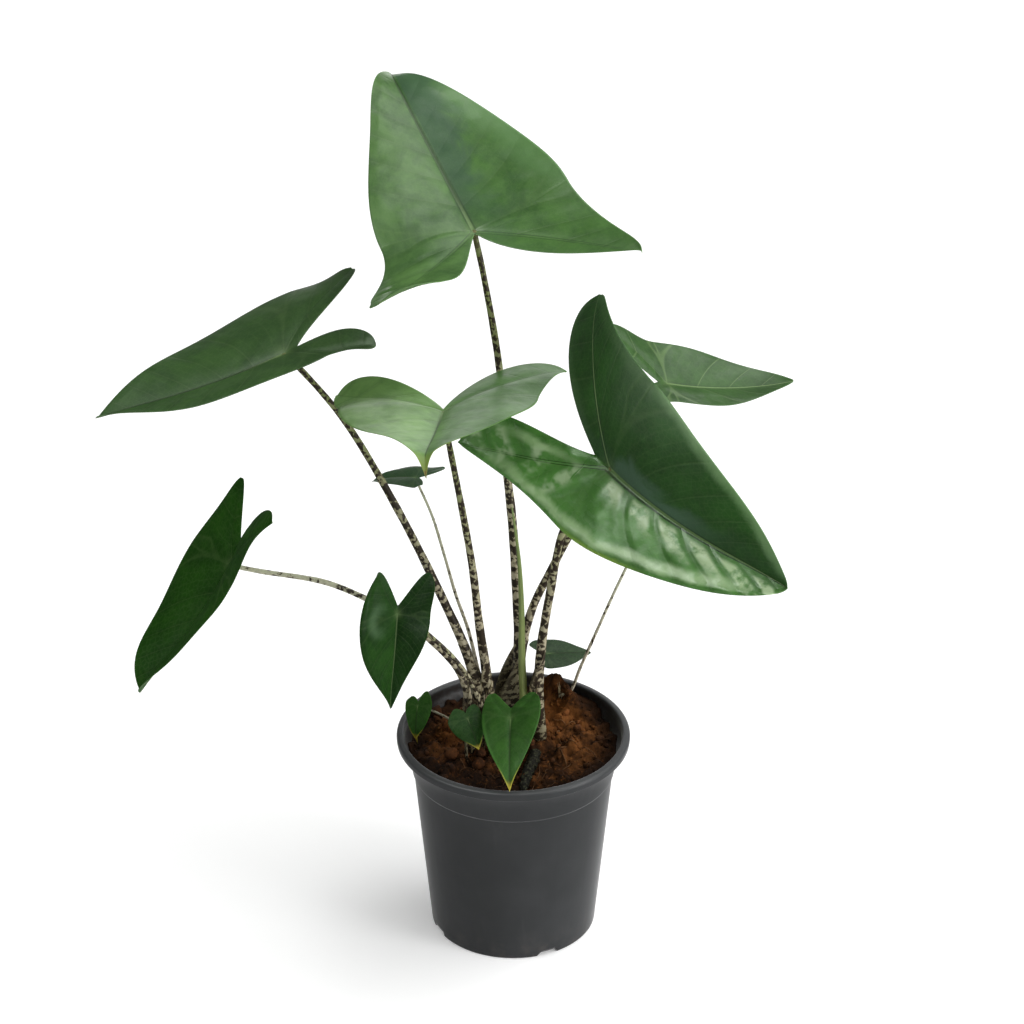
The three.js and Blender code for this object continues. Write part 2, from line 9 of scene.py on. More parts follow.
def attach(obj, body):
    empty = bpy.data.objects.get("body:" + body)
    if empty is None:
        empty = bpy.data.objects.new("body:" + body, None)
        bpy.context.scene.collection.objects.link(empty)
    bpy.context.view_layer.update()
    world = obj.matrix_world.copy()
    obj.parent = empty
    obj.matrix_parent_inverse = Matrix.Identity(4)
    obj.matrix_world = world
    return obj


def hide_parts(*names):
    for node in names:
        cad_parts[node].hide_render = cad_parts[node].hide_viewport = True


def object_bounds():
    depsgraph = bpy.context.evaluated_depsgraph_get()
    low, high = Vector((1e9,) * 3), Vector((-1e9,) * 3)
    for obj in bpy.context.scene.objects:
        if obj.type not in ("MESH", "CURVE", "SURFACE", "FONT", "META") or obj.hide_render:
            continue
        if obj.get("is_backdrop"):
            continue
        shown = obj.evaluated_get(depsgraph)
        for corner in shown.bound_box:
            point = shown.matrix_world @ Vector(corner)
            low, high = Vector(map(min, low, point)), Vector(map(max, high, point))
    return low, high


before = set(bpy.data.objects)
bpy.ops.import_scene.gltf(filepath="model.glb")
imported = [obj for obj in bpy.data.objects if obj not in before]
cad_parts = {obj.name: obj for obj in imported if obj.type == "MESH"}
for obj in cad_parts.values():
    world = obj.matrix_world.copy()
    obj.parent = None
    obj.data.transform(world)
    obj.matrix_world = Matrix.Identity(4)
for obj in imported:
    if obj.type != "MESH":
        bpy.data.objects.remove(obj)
cad_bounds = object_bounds()

# A zebra-stemmed alocasia in its nursery pot. Shapes are worked out in millimetres.

MM = 0.001
TURN = 2 * math.pi
ROOT = "root"

# Pot
POT_HEIGHT = 160
RIM_RADIUS = 85.5
LIP_HEIGHT = 7
LIP_Z = POT_HEIGHT - LIP_HEIGHT
LIP_WIDTH = 4.5
FOOT_RADIUS = 60.6
WALL_TAPER = 0.097
WALL = 1.5
STEP_Z = 128
STEP_OUT = 1
FLOOR_LOW = 3.6
FLOOR_TOP = 5.2
FOOT_RING = 4
BOSS_RADIUS = 20
NOTCH_WIDTH = 14
NOTCH_COUNT = 4
NOTCH_START = -65
POT_SIDES = 256

# Soil
SOIL_GAP = 0.35
SOIL_Z = 146
# Each ripple: radians in a millimetre along x and along y, phase and height.
SOIL_RIPPLES = [(0.31, 0.27, 1.2, 1), (0.31, -0.27, 0.4, 1), (0.55, -0.62, 0, 0.8)]
SOIL_EDGE_LOW = 144.5
SOIL_EDGE_HIGH = 152
SOIL_RINGS = 120
SOIL_SIDES = 288
# Each lump and mound: x, y, height and radius.
SOIL_LUMPS = [
    (20, 65, 14, 13), (35, 59, 14, 13), (50, 44, 6, 16), (44, 8, 5, 20),
    (-48, 26, 6, 16), (-56, -16, 3, 18), (8, -58, -4, 30), (0, 8, 3, 26),
]
MOUNDS = [(34, 60, 7, 15), (50, 50, 4, 12), (-17, -4, 3, 14), (15, 0, 3, 12)]

# Stems
FOOT_DEPTH = 32
STEM_STAND = 3
PETIOLE_TAPER = 0.8
PETIOLE_ROWS = 186
PETIOLE_SIDES = 20
SPEAR_TAPER = 1.7
SPEAR_ROWS = 170
SPEAR_SIDES = 36
OLD_STEM_RADIUS = 4.4
OLD_STEM_ROWS = 150
OLD_STEM_SIDES = 32
OLD_STEM_SCARS = 6.5
SHEATH_CELLS = 26
SHEATH_THICKNESS = 0.55
BAND_PITCH = 7.5
BLADE = 0.8
BLADE_GAP = 0.35

# Blades
RIB_PIECES = 12
RIB_CURL_START = 0.6
BEHIND_SHOULDER = 1.1
INTO_SINUS = 1.1
TWIST_REACH = 1.2
WAVE = 0.011
WAVE_TURNS = 2.5
LARGE_LEAF = 90
TINY_LEAF = 60
# The widths are shares of the blade's length, the bow of the lobe's. The pitch is in millimetres.
MIDRIB_WIDTH = 0.0062
LOBE_RIB_WIDTH = 0.0034
LOBE_RIB_BOW = 0.05
LATERAL_PITCH = 24
LATERAL_SWEEP = 0.8
FURROW_WIDTH = 0.022
THINNEST = 0.34
# A blade's relief in shares of its length, unless its look says otherwise. The knob is in millimetres,
# the trough's width is a share of the half's width, and the midrib is a factor.
USUAL_RELIEF = dict(
    quilt=0.0022, trough=0.004, trough_width=0.08, crest=0, swell=0.003, crinkle=0.0007, midrib=1, knob=0,
)


def rad(degrees):
    return math.radians(degrees)


def half(width, lobe, spread, rise, fold, curl, outer=0.9, inner=0.45, full=1.2, notch=20, twist=0):
    angles = {"spread": spread, "rise": rise, "fold": fold, "curl": curl, "notch": notch, "twist": twist}
    radians = {key: rad(angle) for key, angle in angles.items()}
    return {"width": width, "lobe": lobe, "outer": outer, "inner": inner, "full": full, **radians}


# Each leaf: the junction of blade and petiole, the blade's attitude in degrees, its outline and bends,
# the petiole's foot, its radii at the foot and at the blade, the places it passes, and the blade's look.
# Some look keys paint light and shade: half shading, midrib sheen, highlights and rim light.
LEAVES = [
    dict(
        name="top", at=(-28, 43, 543), heading=112, pitch=19, roll=-27,
        length=172, shoulder=4, bend=19, tip=-70, sinus=2, apex_full=1.1, apex_angle=35,
        left=half(68, 137, 37, 66, 38, -29, twist=-3, outer=0.7, inner=1.35, full=0.6, notch=32),
        right=half(75, 132, 46, 12, -11, 14, twist=1, outer=0.4, inner=-0.25, full=0.75, notch=23),
        foot=(0, 8), girth=(4.8, 2),
        via=[(3, 14, 187), (4, 19, 234), (2, 24, 274), (-1, 28, 321), (-5, 31, 362), (-10, 36, 439),
             (-21, 39, 511)],
        look=dict(
            dark=(0.036, 0.098, 0.022), light=(0.09, 0.195, 0.05),
            tone_and_half_shade=((0.98, 1.0, 0.92), (0.8, 0.94, 0.68)), gloss=0.38, rib=0.05, groove=0.75, vein=0.02,
            costa=0.03, quilt=(0.0045, 0.002), knob=(4, 0), painted_midrib_sheen=(1, 33, 0.3, (0.045, 0.1, 0.054)),
            pale_margin_and_rim_light=(1, 26, (0.11, 0.24, 0.075)),
        ),
    ),
    dict(
        name="left", at=(-160, 3, 468), heading=-163, pitch=-20, roll=-4,
        length=139, shoulder=-25, bend=18, tip=-10, sinus=10, apex_full=1, apex_angle=36,
        left=half(32, 76, 40, 19, 20, -26, twist=-5, outer=0.85, inner=0.5, full=1.1, notch=7),
        right=half(68, 87, 35, 6, 19, -40, twist=-8, outer=1, inner=0.65, notch=41),
        foot=(-20, -2), girth=(4.4, 1.9),
        via=[(-26, -1, 196), (-33, -1, 225), (-51, 0, 272), (-81, 7, 338), (-118, 17, 405), (-147, 12, 448)],
        look=dict(
            dark=(0.018, 0.056, 0.01), light=(0.034, 0.09, 0.017), gloss=0.42, shine=0.3, rib=0.05, vein=0.04,
        ),
    ),
    dict(
        name="lower_left", at=(-201, -15, 308), heading=-156, pitch=-61, roll=5,
        length=115, shoulder=10, bend=25, tip=-19, sinus=17, apex_angle=67,
        left=half(46, 90, 46, 14, 39, -39, twist=18, outer=0, inner=0.65, full=1, notch=11),
        right=half(47, 63, 24, 4, 30, -28, outer=0.1, inner=0.3, full=1.3, notch=32),
        foot=(-29, -9), girth=(3.4, 1.6),
        via=[(-35, -10, 205), (-43, -10, 223), (-60, -11, 244), (-78, -11, 261), (-106, -12, 279),
             (-135, -13, 293), (-180, -15, 303)],
        look=dict(
            dark=(0.006, 0.04, 0.001), light=(0.013, 0.066, 0.002), gloss=0.5, shine=0.05, rib=0.15,
            vein=0.04, stem="fading",
        ),
    ),
    dict(
        name="small_heart", at=(-82, -46, 286), heading=-106, pitch=-77, roll=-46,
        length=72, shoulder=6, bend=-7, tip=14, sinus=6, apex_full=0.6, apex_angle=25,
        left=half(27, 37, 41, 3, 9, -14, outer=0.85, inner=0.65, full=0.75, notch=40),
        right=half(34, 38, 30, -7, 16, -13, outer=0.45, inner=0.4, full=1.25, notch=29),
        foot=(-16, -12), girth=(2.2, 1.4),
        via=[(-27, -19, 205), (-42, -22, 234), (-60, -22, 254), (-76, -27, 272)],
        look=dict(
            dark=(0.007, 0.03, 0.005), light=(0.014, 0.054, 0.008), tone_and_half_shade=((0.4, 0.52, 0.28), (1.0, 1.0, 0.8)),
            gloss=0.38, shine=0.08, vein=0.02, net=0.02, pale=0.3, crest=(0.0, 0.012), painted_crescent_highlight=(14, 3, 9),
            stem="strong",
        ),
    ),
    dict(
        name="centre", at=(-49, -32, 441), heading=-95, pitch=8, roll=9,
        length=118, shoulder=-11, bend=10, tip=-19, sinus=4, apex_full=0.75, apex_angle=30,
        left=half(66, 113, 45, -1, 17, -36, twist=-1, outer=0, inner=0.65, full=1.25),
        right=half(74, 94, 59, -5, 20, -31, twist=-14, inner=0.65, full=0.95, notch=31),
        foot=(-11, 6), girth=(4.3, 1.9),
        via=[(-18, 0, 195), (-21, -3, 222), (-25, -7, 258), (-29, -12, 302), (-35, -18, 347),
             (-45, -26, 412)],
        look=dict(
            dark=(0.06, 0.13, 0.033), light=(0.1, 0.2, 0.055), tone_and_half_shade=((0.82, 0.98, 0.8), (2.25, 2.1, 2.2)),
            blend=16, gloss=0.42, shine=0.25, rib=0.05, vein=0.03, quilt=0.0008, tip=(3, 11),
            yellow=(0.9, (0.22, 0.3, 0.05), (0.22, 0.3, 0.05)),
        ),
    ),
    dict(
        name="front_right", at=(66, -51, 405), heading=-52, pitch=-15, roll=83,
        length=161, shoulder=-4, bend=-35, tip=19, sinus=17, apex_full=0.5, apex_angle=49,
        left=half(71, 136, 32, -37, 1, -31, twist=1, outer=0.4, inner=0.95, notch=24),
        right=half(53, 124, 24, 18, 45, -29, outer=0.1, inner=1.15, full=0.9, notch=23),
        foot=(20, 2), girth=(4.4, 2),
        via=[(18, -2, 196), (20, -4, 232), (23, -5, 258), (27, -5, 284), (35, -6, 330), (53, -10, 372)],
        look=dict(
            dark=(0.018, 0.062, 0.01), light=(0.034, 0.108, 0.018),
            tone_and_half_shade=((0.42, 0.76, 0.26), (2.9, 2.5, 3.1)), gloss=(0.44, 0.27), shine=0.3, rib=0.8, groove=0.95,
            vein=0.04, pale=0.9, costa=(0.75, 0.03), midrib=1.7, tip=(-4, 0), quilt=(0.0012, 0.0085),
            crest=(0.0, 0.017), trough=(0.003, 0.012), trough_width=0.17, crinkle=(0.0003, 0.0014),
            swell=(0.001, 0.004), patch=(30, 42, 6), painted_highlights=(0.9, 0.72, 0.81),
            pale_margin_and_rim_light=(-1, 10, (0.15, 0.28, 0.11)), painted_midrib_sheen=(-1, 18, 0.04, (0.065, 0.13, 0.082), (0.35, 0.7)),
        ),
    ),
    dict(
        name="back_right", at=(110, 60, 415), heading=25, pitch=-21, roll=18,
        length=102, shoulder=-4, bend=23, tip=4, sinus=8, apex_angle=35,
        left=half(35, 62, 38, 10, 23, -13, outer=0.75, inner=0.5, full=0.9, notch=31),
        right=half(28, 74, 26, -14, 19, -15, outer=0.95, notch=38),
        foot=(9, 18), girth=(4.2, 1.8),
        via=[(4, 22, 182), (6, 26, 213), (14, 31, 246), (27, 36, 274), (40, 40, 300), (62, 47, 343)],
        look=dict(
            dark=(0.026, 0.07, 0.016), light=(0.048, 0.118, 0.028), gloss=0.34, shine=0.3, rib=0.85, vein=0.3,
        ),
    ),
    dict(
        name="behind_small", at=(-71, 70, 333), heading=164, pitch=-3, roll=-5,
        length=35, shoulder=-2, bend=-22, tip=-6, sinus=2,
        left=half(13, 12, 51, -2, 9, -19), right=half(13, 23, 36, 5, 16, -24),
        foot=(-14, 18), girth=(1.8, 0.9),
        via=[(-24, 28, 186), (-33, 38, 223), (-42, 46, 248), (-51, 55, 279), (-59, 62, 305)],
        look=dict(dark=(0.02, 0.052, 0.02), light=(0.032, 0.08, 0.03), gloss=0.4),
    ),
    dict(
        name="rear_low", at=(25, 62, 189), heading=17, pitch=-7, roll=13,
        length=35, shoulder=0, bend=-6, tip=3, sinus=2,
        left=half(14, 15, 38, 3, 15, -20), right=half(16, 14, 37, -1, 7, -19),
        foot=(13, 33), girth=(1.8, 1.1),
        via=[(14, 44, 164), (18, 57, 178)],
        look=dict(
            dark=(0.009, 0.03, 0.007), light=(0.018, 0.05, 0.013), gloss=0.45, shine=0.2, rib=0.1, vein=0.03,
        ),
    ),
    dict(
        name="front_young", at=(-2, -35, 193), heading=-92, pitch=-18, roll=8,
        length=63, shoulder=-4, bend=-14, tip=-2, sinus=9, apex_angle=16,
        left=half(22, 27, 41, -2, 15, -19, outer=0.95, inner=0.6, full=1.1, notch=43),
        right=half(21, 27, 34, 2, 12, -20, inner=0.6, full=1.35, notch=48),
        foot=(-3, -15), girth=(2.2, 1.4),
        via=[(-2, -21, 168), (-1, -29, 184)],
        look=dict(
            dark=(0.018, 0.062, 0.009), light=(0.036, 0.115, 0.016), gloss=0.38, shine=0.1, rib=0.1,
            vein=0.03, yellow=(0.88,), pale_margin_and_rim_light=(1, 3, (0.06, 0.17, 0.03)),
        ),
    ),
    dict(
        name="rim_small", at=(-70, 4, 179), heading=-107, pitch=-64, roll=17,
        length=25, shoulder=-1, bend=-15, tip=-2, sinus=3,
        left=half(12, 14, 32, 1, 9, -22), right=half(10, 8, 37, 2, 14, -21),
        foot=(-39, 14), girth=(1.2, 0.8),
        via=[(-47, 11, 163), (-56, 9, 170)],
        look=dict(
            dark=(0.016, 0.064, 0.007), light=(0.032, 0.115, 0.012), gloss=0.4, shine=0.08, rib=0.1,
            vein=0.03, yellow=(0.84,), tip=(5, 2),
        ),
    ),
    dict(
        name="shaded_small", at=(-33, -28, 188), heading=-60, pitch=-44, roll=10,
        length=24, shoulder=0, bend=-12, tip=1, sinus=4,
        left=half(11, 12, 49, 1, 10, -21), right=half(15, 12, 40, 0, 7, -21),
        foot=(-34, -19), girth=(1.2, 0.9),
        via=[(-34, -20, 168)],
        look=dict(
            dark=(0.007, 0.034, 0.003), light=(0.014, 0.058, 0.006), gloss=0.38, shine=0.12, rib=0.1,
            vein=0.03, yellow=(0.84,), stem="strong",
        ),
    ),
    dict(
        name="hidden_small", at=(92, 50, 292), heading=10, pitch=-15, roll=10,
        length=42, shoulder=-2, bend=-10, tip=0,
        left=half(17, 19, 34, 1, 12, -20), right=half(17, 19, 34, 1, 12, -20),
        foot=(35, 49), girth=(1.3, 1),
        via=[(41, 49, 162), (50, 49, 186), (61, 49, 215), (71, 50, 241), (81, 50, 266)],
        look=dict(dark=(0.016, 0.054, 0.011), light=(0.032, 0.095, 0.019), gloss=0.4),
    ),
]

SPEAR = dict(
    foot=(9, -4), girth=(3.4, 0.5),
    via=[(7, -2, 196), (6, -1, 229), (6, 0, 254), (4, 2, 303), (-1, 3, 345)],
)
OLD_STEM = [(16, -11, 147), (14, -24, 149), (10, -39, 147), (7, -54, 143)]

# Height above the soil, widening at the soil, the way it opens in degrees, and its wing's width at
# the soil and at the top.
SHEATHED = {
    "top": (92, 1.2, 195, 12, 0.5),
    "left": (92, 1.35, 30, 3.5, 1),
    "lower_left": (66, 1.3, 200, 3, 1),
    "centre": (88, 1.25, 170, 3, 1),
    "front_right": (90, 1.1, 175, 4, 2.6),
    "back_right": (80, 1.4, 150, 5, 1),
}
# Each tuft of dry sheath: x, y, radius, height on the stems and the number of its strips.
RAGS = [(-24, -5, 8, 58, 40), (-31, -9, 5, 44, 18), (15, -4, 4, 50, 14), (35, 48, 1.5, 4, 5)]


# Meshes

def add_piece(name, vertices, faces, slot, replaced=(), materials=(), which=None, fields=None):
    mesh = bpy.data.meshes.new(name)
    mesh.from_pydata((np.asarray(vertices, float) * MM).tolist(), [], [list(map(int, f)) for f in faces])
    mesh.validate()
    for material in materials:
        mesh.materials.append(material)
    if which is not None:
        mesh.polygons.foreach_set("material_index", np.asarray(which, dtype=np.int32))
    mesh.polygons.foreach_set("use_smooth", np.ones(len(mesh.polygons), dtype=bool))
    for key, values in (fields or {}).items():
        layer = mesh.attributes.new(key, "FLOAT_VECTOR", "POINT")
        layer.data.foreach_set("vector", np.asarray(values, dtype=np.float32).ravel())
    mesh.update()
    piece = bpy.data.objects.new(name, mesh)
    bpy.context.scene.collection.objects.link(piece)
    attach(piece, ROOT)
    if replaced:
        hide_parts(*replaced)


class Heap:
    """Many small closed shapes that become one piece."""

    def __init__(self):
        self.vertices, self.faces = [], []

    def add(self, vertices, faces):
        start = len(self.vertices)
        self.faces.extend([tuple(v + start for v in face) for face in faces])
        self.vertices.extend(vertices.tolist())


def rough(point, scale, seed=0.0, octaves=3):
    """Smooth noise about 0, at a point in millimetres and a scale in millimetres."""
    p = Vector((point[0] / scale + seed, point[1] / scale - seed, point[2] / scale + 2 * seed))
    return noise.fractal(p, 1.0, 2.0, octaves)


def polar(radius, angle):
    return radius * math.cos(angle), radius * math.sin(angle)


def around(sides):
    """Even angles round a ring."""
    return TURN * np.arange(sides) / sides


def turned_faces(rows, sides, flip=False):
    """The faces between rings of points round an axis, with one point on the axis before and after them."""
    faces = []
    for j in range(sides):
        k = (j + 1) % sides
        faces.append((0, 1 + k, 1 + j))
        for i in range(rows - 1):
            a = 1 + i * sides
            faces.append((a + j, a + k, a + sides + k, a + sides + j))
        last = 1 + (rows - 1) * sides
        faces.append((last + j, last + k, last + sides))
    return [(face[0], *face[:0:-1]) for face in faces] if flip else faces


def both_sides(quads, count):
    """The faces of a closed sheet: the upper ones, the same ones below, and the rim between them."""
    edges = {(quad[k - 1], quad[k]) for quad in quads for k in range(len(quad))}
    rim = [(b, a, a + count, b + count) for a, b in sorted(edges) if (b, a) not in edges]
    return [*quads, *[tuple(k + count for k in reversed(q)) for q in quads], *rim]


# Materials

class Value:
    """The output of a node, which can be added, subtracted and multiplied like a number."""

    def __init__(self, shader, socket):
        self.shader, self.socket = shader, socket

    def __add__(self, other):
        return self.shader.math("ADD", self, other)

    def __radd__(self, other):
        return self.shader.math("ADD", other, self)

    def __sub__(self, other):
        return self.shader.math("SUBTRACT", self, other)

    def __mul__(self, other):
        return self.shader.math("MULTIPLY", self, other)

    def __abs__(self):
        return self.shader.math("ABSOLUTE", self)

    def __round__(self):
        return self.shader.math("ROUND", self)


class Shader:
    """A material and its nodes, with short calls for the ones that are used often."""

    def __init__(self, name):
        self.material = bpy.data.materials.new(name)
        self.material.use_nodes = True
        self.tree = self.material.node_tree
        self.surface = next(n for n in self.tree.nodes if n.type == "BSDF_PRINCIPLED")
        self.colour = None

    def put(self, socket, value):
        if isinstance(value, Value):
            self.tree.links.new(value.socket, socket)
        elif isinstance(value, tuple) and socket.type == "RGBA":
            socket.default_value = (*value, 1)
        else:
            socket.default_value = value

    def node(self, kind, output, inputs, **settings):
        """One output of a new node, whose inputs go by their names or numbers."""
        made = self.tree.nodes.new("ShaderNode" + kind)
        for key, value in settings.items():
            setattr(made, key, value)
        for key, value in inputs.items():
            self.put(made.inputs[key], value)
        return Value(self, made.outputs[output])

    def math(self, operation, a, b=0.0, clamp=False):
        return self.node("Math", 0, {0: a, 1: b}, operation=operation, use_clamp=clamp)

    def ramp(self, value, low, high, to_low=0.0, to_high=1.0):
        inputs = dict(enumerate((value, low, high, to_low, to_high)))
        return self.node("MapRange", 0, inputs, interpolation_type="SMOOTHSTEP")

    def mix(self, factor, a, b, blend="MIX"):
        inputs = {0: factor, 6: a, 7: b}
        return self.node("Mix", 2, inputs, data_type="RGBA", blend_type=blend, clamp_factor=True)

    def paint(self, amount, colour):
        """Lays a colour over what is painted so far."""
        self.colour = self.mix(amount, self.colour, colour)

    def noise(self, vector, scale, detail=3.0, roughness=0.55, distortion=0.0):
        inputs = {"Vector": vector, "Scale": scale, "Detail": detail, "Roughness": roughness}
        return self.node("TexNoise", "Fac", {**inputs, "Distortion": distortion})

    def cells(self, vector, scale, feature="DISTANCE_TO_EDGE"):
        return self.node("TexVoronoi", 0, {"Vector": vector, "Scale": scale}, feature=feature)

    def coordinate(self, output="Object"):
        return self.node("TexCoord", output, {})

    def field(self, name):
        return self.node("Attribute", "Vector", {}, attribute_name=name)

    def parts(self, vector):
        first = self.node("SeparateXYZ", 0, {0: vector})
        return [Value(self, output) for output in first.socket.node.outputs]

    def stretched(self, parts, across, along):
        """A place for noise that is drawn out along the third axis."""
        x, y, z = parts
        return self.node("CombineXYZ", 0, {0: x * across, 1: y * across, 2: z * along})

    def bump(self, height, distance, strength=1.0):
        return self.node("Bump", 0, {"Height": height, "Distance": distance, "Strength": strength})

    def finish(self, roughness, **values):
        values.update(Base_Color=self.colour, Roughness=roughness)
        for key, value in values.items():
            self.put(self.surface.inputs[key.replace("_", " ")], value)
        return self.material


def scaled(colour, factor, extra=0.0):
    return tuple(factor * c + extra for c in colour)


# How strongly the veins and ribs show, unless a leaf's look says otherwise.
USUAL_LOOK = dict(rib=0.3, vein=0.08, costa=0.15, net=0.05, groove=0.3, pale=0.7, shine=0.35, blend=1.5)
UNDERSIDE = dict(rib=0.9, vein=0.65, costa=0.85, net=0.12, shine=0.3)


class LeafShader(Shader):
    """One side of a blade. Its fields say where a point lies: x is across, y ahead of the junction."""

    def __init__(self, name, look, top):
        super().__init__(name)
        self.top = top
        self.look = {**USUAL_LOOK, **look, **({} if top else UNDERSIDE)}
        self.rib, self.phase, self.tightness = self.parts(self.field("ribs"))
        self.flat = self.field("place")
        self.x, self.y, self.margin = self.parts(self.flat)
        self.to_apex, self.at_base, self.near_base = self.parts(self.field("ends"))
        self.cloud = self.noise(self.flat, 0.028, 4, 0.6, 0.6)
        self.mottle = self.noise(self.flat, 0.16, 4, 0.65)
        self.main_rib = self.ramp(abs(self.rib), 0.55, 1.25, 1, 0)
        self.from_vein = abs(self.phase - round(self.phase))
        self.side_vein = self.ramp(self.from_vein * self.tightness, 0.3, 1.3, 1, 0)
        fine = self.phase * 4
        self.minor_vein = self.ramp(abs(fine - round(fine)) * (self.tightness * 0.25), 0.1, 0.7, 1, 0)
        self.net = self.ramp(self.cells(self.flat, 0.22), 0.0, 0.16, 1, 0)

    def own(self, value):
        """A value that may be a pair for the left and the right half."""
        return self.ramp(self.x, -1.0, 1.0, *value) if isinstance(value, tuple) else value

    def wandering(self, value, amount):
        return value + (self.cloud - 0.5) * amount

    def ground(self):
        """Clouds of a dark and a light green, with each half made lighter or darker as painted light and
        shade.
        """
        look = self.look
        if self.top:
            self.dark, self.light = look["dark"], look["light"]
            self.vein = tuple(0.4 * c + 0.6 * p for c, p in zip(self.light, (0.26, 0.38, 0.15)))
        else:
            self.dark, self.light = scaled(look["dark"], 1.5, 0.03), scaled(look["light"], 1.25, 0.04)
            self.vein = (0.3, 0.36, 0.17)
        tone_and_half_shade = self.cloud * 1.1 + self.mottle * 0.35
        self.colour = self.mix(self.ramp(tone_and_half_shade, 0.45, 1.0), self.dark, self.light)
        # Painted light and shade: each half's colour is scaled, one half lighter and the other darker.
        if "tone_and_half_shade" in look:
            halves = self.mix(self.ramp(self.x, -look["blend"], look["blend"]), *look["tone_and_half_shade"])
            self.colour = self.mix(1.0, self.colour, halves, "MULTIPLY")
        self.paint(self.noise(self.flat, 1.3, 3, 0.6) * 0.16, scaled(self.dark, 0.55))

    def veins(self):
        look, vein, shade = self.look, self.vein, scaled(self.dark, 0.4)
        self.paint(self.net * look["net"], vein)
        self.paint(self.ramp(self.from_vein * self.tightness, 0.5, 7.0, 1, 0) * 0.16, shade)
        self.paint(self.minor_vein * 0.04, vein)
        self.paint(self.side_vein * look["vein"], vein)
        self.paint(self.ramp(abs(abs(self.rib) - 1.5), 0.0, 0.8, 1, 0) * look["groove"], shade)
        paleness = self.math("MAXIMUM", look["rib"], self.near_base * look["pale"])
        rib_colour = self.mix(paleness, shade, vein)
        strength = self.ramp(self.to_apex, 0.0, 0.03, self.own(look["costa"]), 0.85)
        self.paint(self.main_rib * strength, rib_colour)
        self.paint(self.at_base * 0.3, vein)
        self.paint(self.ramp(self.margin, 0.25, 0.9, 1, 0) * 0.5, scaled(self.light, 1.3, 0.01))

    def patch(self, middle, reach, depth):
        """A yellowish patch at the right margin."""
        along = self.ramp(abs(self.y - middle), 0.3 * reach, reach, 1, 0)
        by_margin = self.ramp(self.margin + self.mottle * 6.0, 3.0, depth + 3.0, 1, 0)
        self.paint(along * by_margin * self.ramp(self.x, 5.0, 15.0) * 0.75, (0.2, 0.33, 0.045))

    def painted_crescent_highlight(self, x, y, radius):
        """A painted highlight: a pale crescent, where a dent in the blade would catch the light."""
        off_x = self.x - x
        off_y = self.y - y
        away = self.math("SQRT", off_x * off_x + off_y * off_y)
        ring = self.ramp(abs(away - radius), 0.0, 0.8 * radius, 1, 0)
        open_side = self.ramp(off_x + self.mottle * 8.0, -3.0, 12.0, 0.05, 1)
        self.paint(ring * open_side * 0.45, (0.08, 0.15, 0.07))

    def pale_margin_and_rim_light(self, side, depth, colour):
        """A lighter band along one half's margin: a paler margin with painted rim light in it."""
        band = self.ramp(self.wandering(self.margin, 1.6 * depth), 0.1 * depth, depth, 1, 0)
        band = band * self.ramp(self.x * side, 2.0, 12.0)
        self.paint(band * self.ramp(self.y, -10.0, 20.0, 0.15, 0.75), colour)

    def painted_midrib_sheen(self, side, broad, start, colour, ends=(0.9, 1.0)):
        """A painted bluish sheen beside the midrib."""
        beside = self.x * side
        close = self.ramp(self.wandering(beside, 1.8 * broad), 0.4 * broad, 1.1 * broad, 1, 0)
        close = close * self.ramp(beside, 0.5, 3.0)
        ahead = self.ramp(self.to_apex, 0.0, start, 0.2, 1) * self.ramp(self.to_apex, *ends, 1, 0.1)
        self.paint(close * ahead * 0.7, colour)

    def painted_highlights(self, lobe, crest, beside):
        """Painted highlights: pale pads in the right lobe, along the right margin's crest and beside the
        midrib.
        """
        outside = self.ramp(self.x, 8.0, 20.0)
        pads = self.ramp(self.from_vein, 0.12, 0.42) * self.ramp(self.noise(self.flat, 0.07, 2), 0.4, 0.6)
        pads = pads * self.ramp(self.y, -2.0, -22.0) * outside * self.ramp(self.margin, 3.0, 9.0)
        self.paint(pads * lobe, (0.36, 0.49, 0.28))
        ridge = self.ramp(abs(self.wandering(self.margin, 14.0) - 8.0), 0.5, 6.0, 1, 0) * outside
        ridge = ridge * self.ramp(self.y, -90.0, -60.0, 0.3, 1) * self.ramp(self.margin, 2.0, 5.0)
        self.paint(ridge * crest, (0.34, 0.5, 0.25))
        close = self.ramp(self.x, 3.0, 6.0) * self.ramp(self.x + self.mottle * 10.0, 14.0, 26.0, 1, 0)
        close = close * self.ramp(self.from_vein, 0.1, 0.3) * self.ramp(self.to_apex, 0.0, 0.06)
        close = close * self.ramp(self.noise(self.flat, 0.09, 3), 0.36, 0.56)
        self.paint(close * beside, (0.46, 0.6, 0.35))

    def yellow(self, start, tail=(0.55, 0.42, 0.05), edge=(0.5, 0.45, 0.06)):
        """The yellowing end, with a dry tip and a yellow margin."""
        self.paint(self.ramp(self.to_apex + self.mottle * 0.08, start, 1.04), tail)
        self.paint(self.ramp(self.to_apex, 0.985, 1.0), (0.2, 0.1, 0.03))
        rim = self.ramp(self.margin, 0.2, 1.0, 1, 0) * self.ramp(self.to_apex, start - 0.25, start)
        self.paint(rim * 0.6, edge)

    def finished(self):
        top, look = self.top, self.look
        self.ground()
        self.veins()
        # Besides the yellowish patch and the yellowing, these paint highlights, sheen and rim light.
        for feature in ("patch", "painted_crescent_highlight", "pale_margin_and_rim_light", "painted_midrib_sheen", "painted_highlights", "yellow"):
            if feature in look:
                getattr(self, feature)(*look[feature])
        roughness = self.own(look["gloss"]) + (0.0 if top else 0.25)
        roughness = roughness + (self.noise(self.flat, 0.1, 1) - 0.5) * 0.14
        roughness = self.math("ADD", roughness, self.main_rib * 0.14, clamp=True)
        height = self.net * -0.3 + self.noise(self.flat, 0.9, 3, 0.6) * 0.3
        height = height + self.side_vein * (-0.9 if top else 0.9)
        height = height + self.minor_vein * (-0.2 if top else 0.3)
        normal = self.bump(height + self.main_rib * 0.6, 0.06 * MM, 0.8)
        return self.finish(roughness, Normal=normal, Specular_IOR_Level=look["shine"])


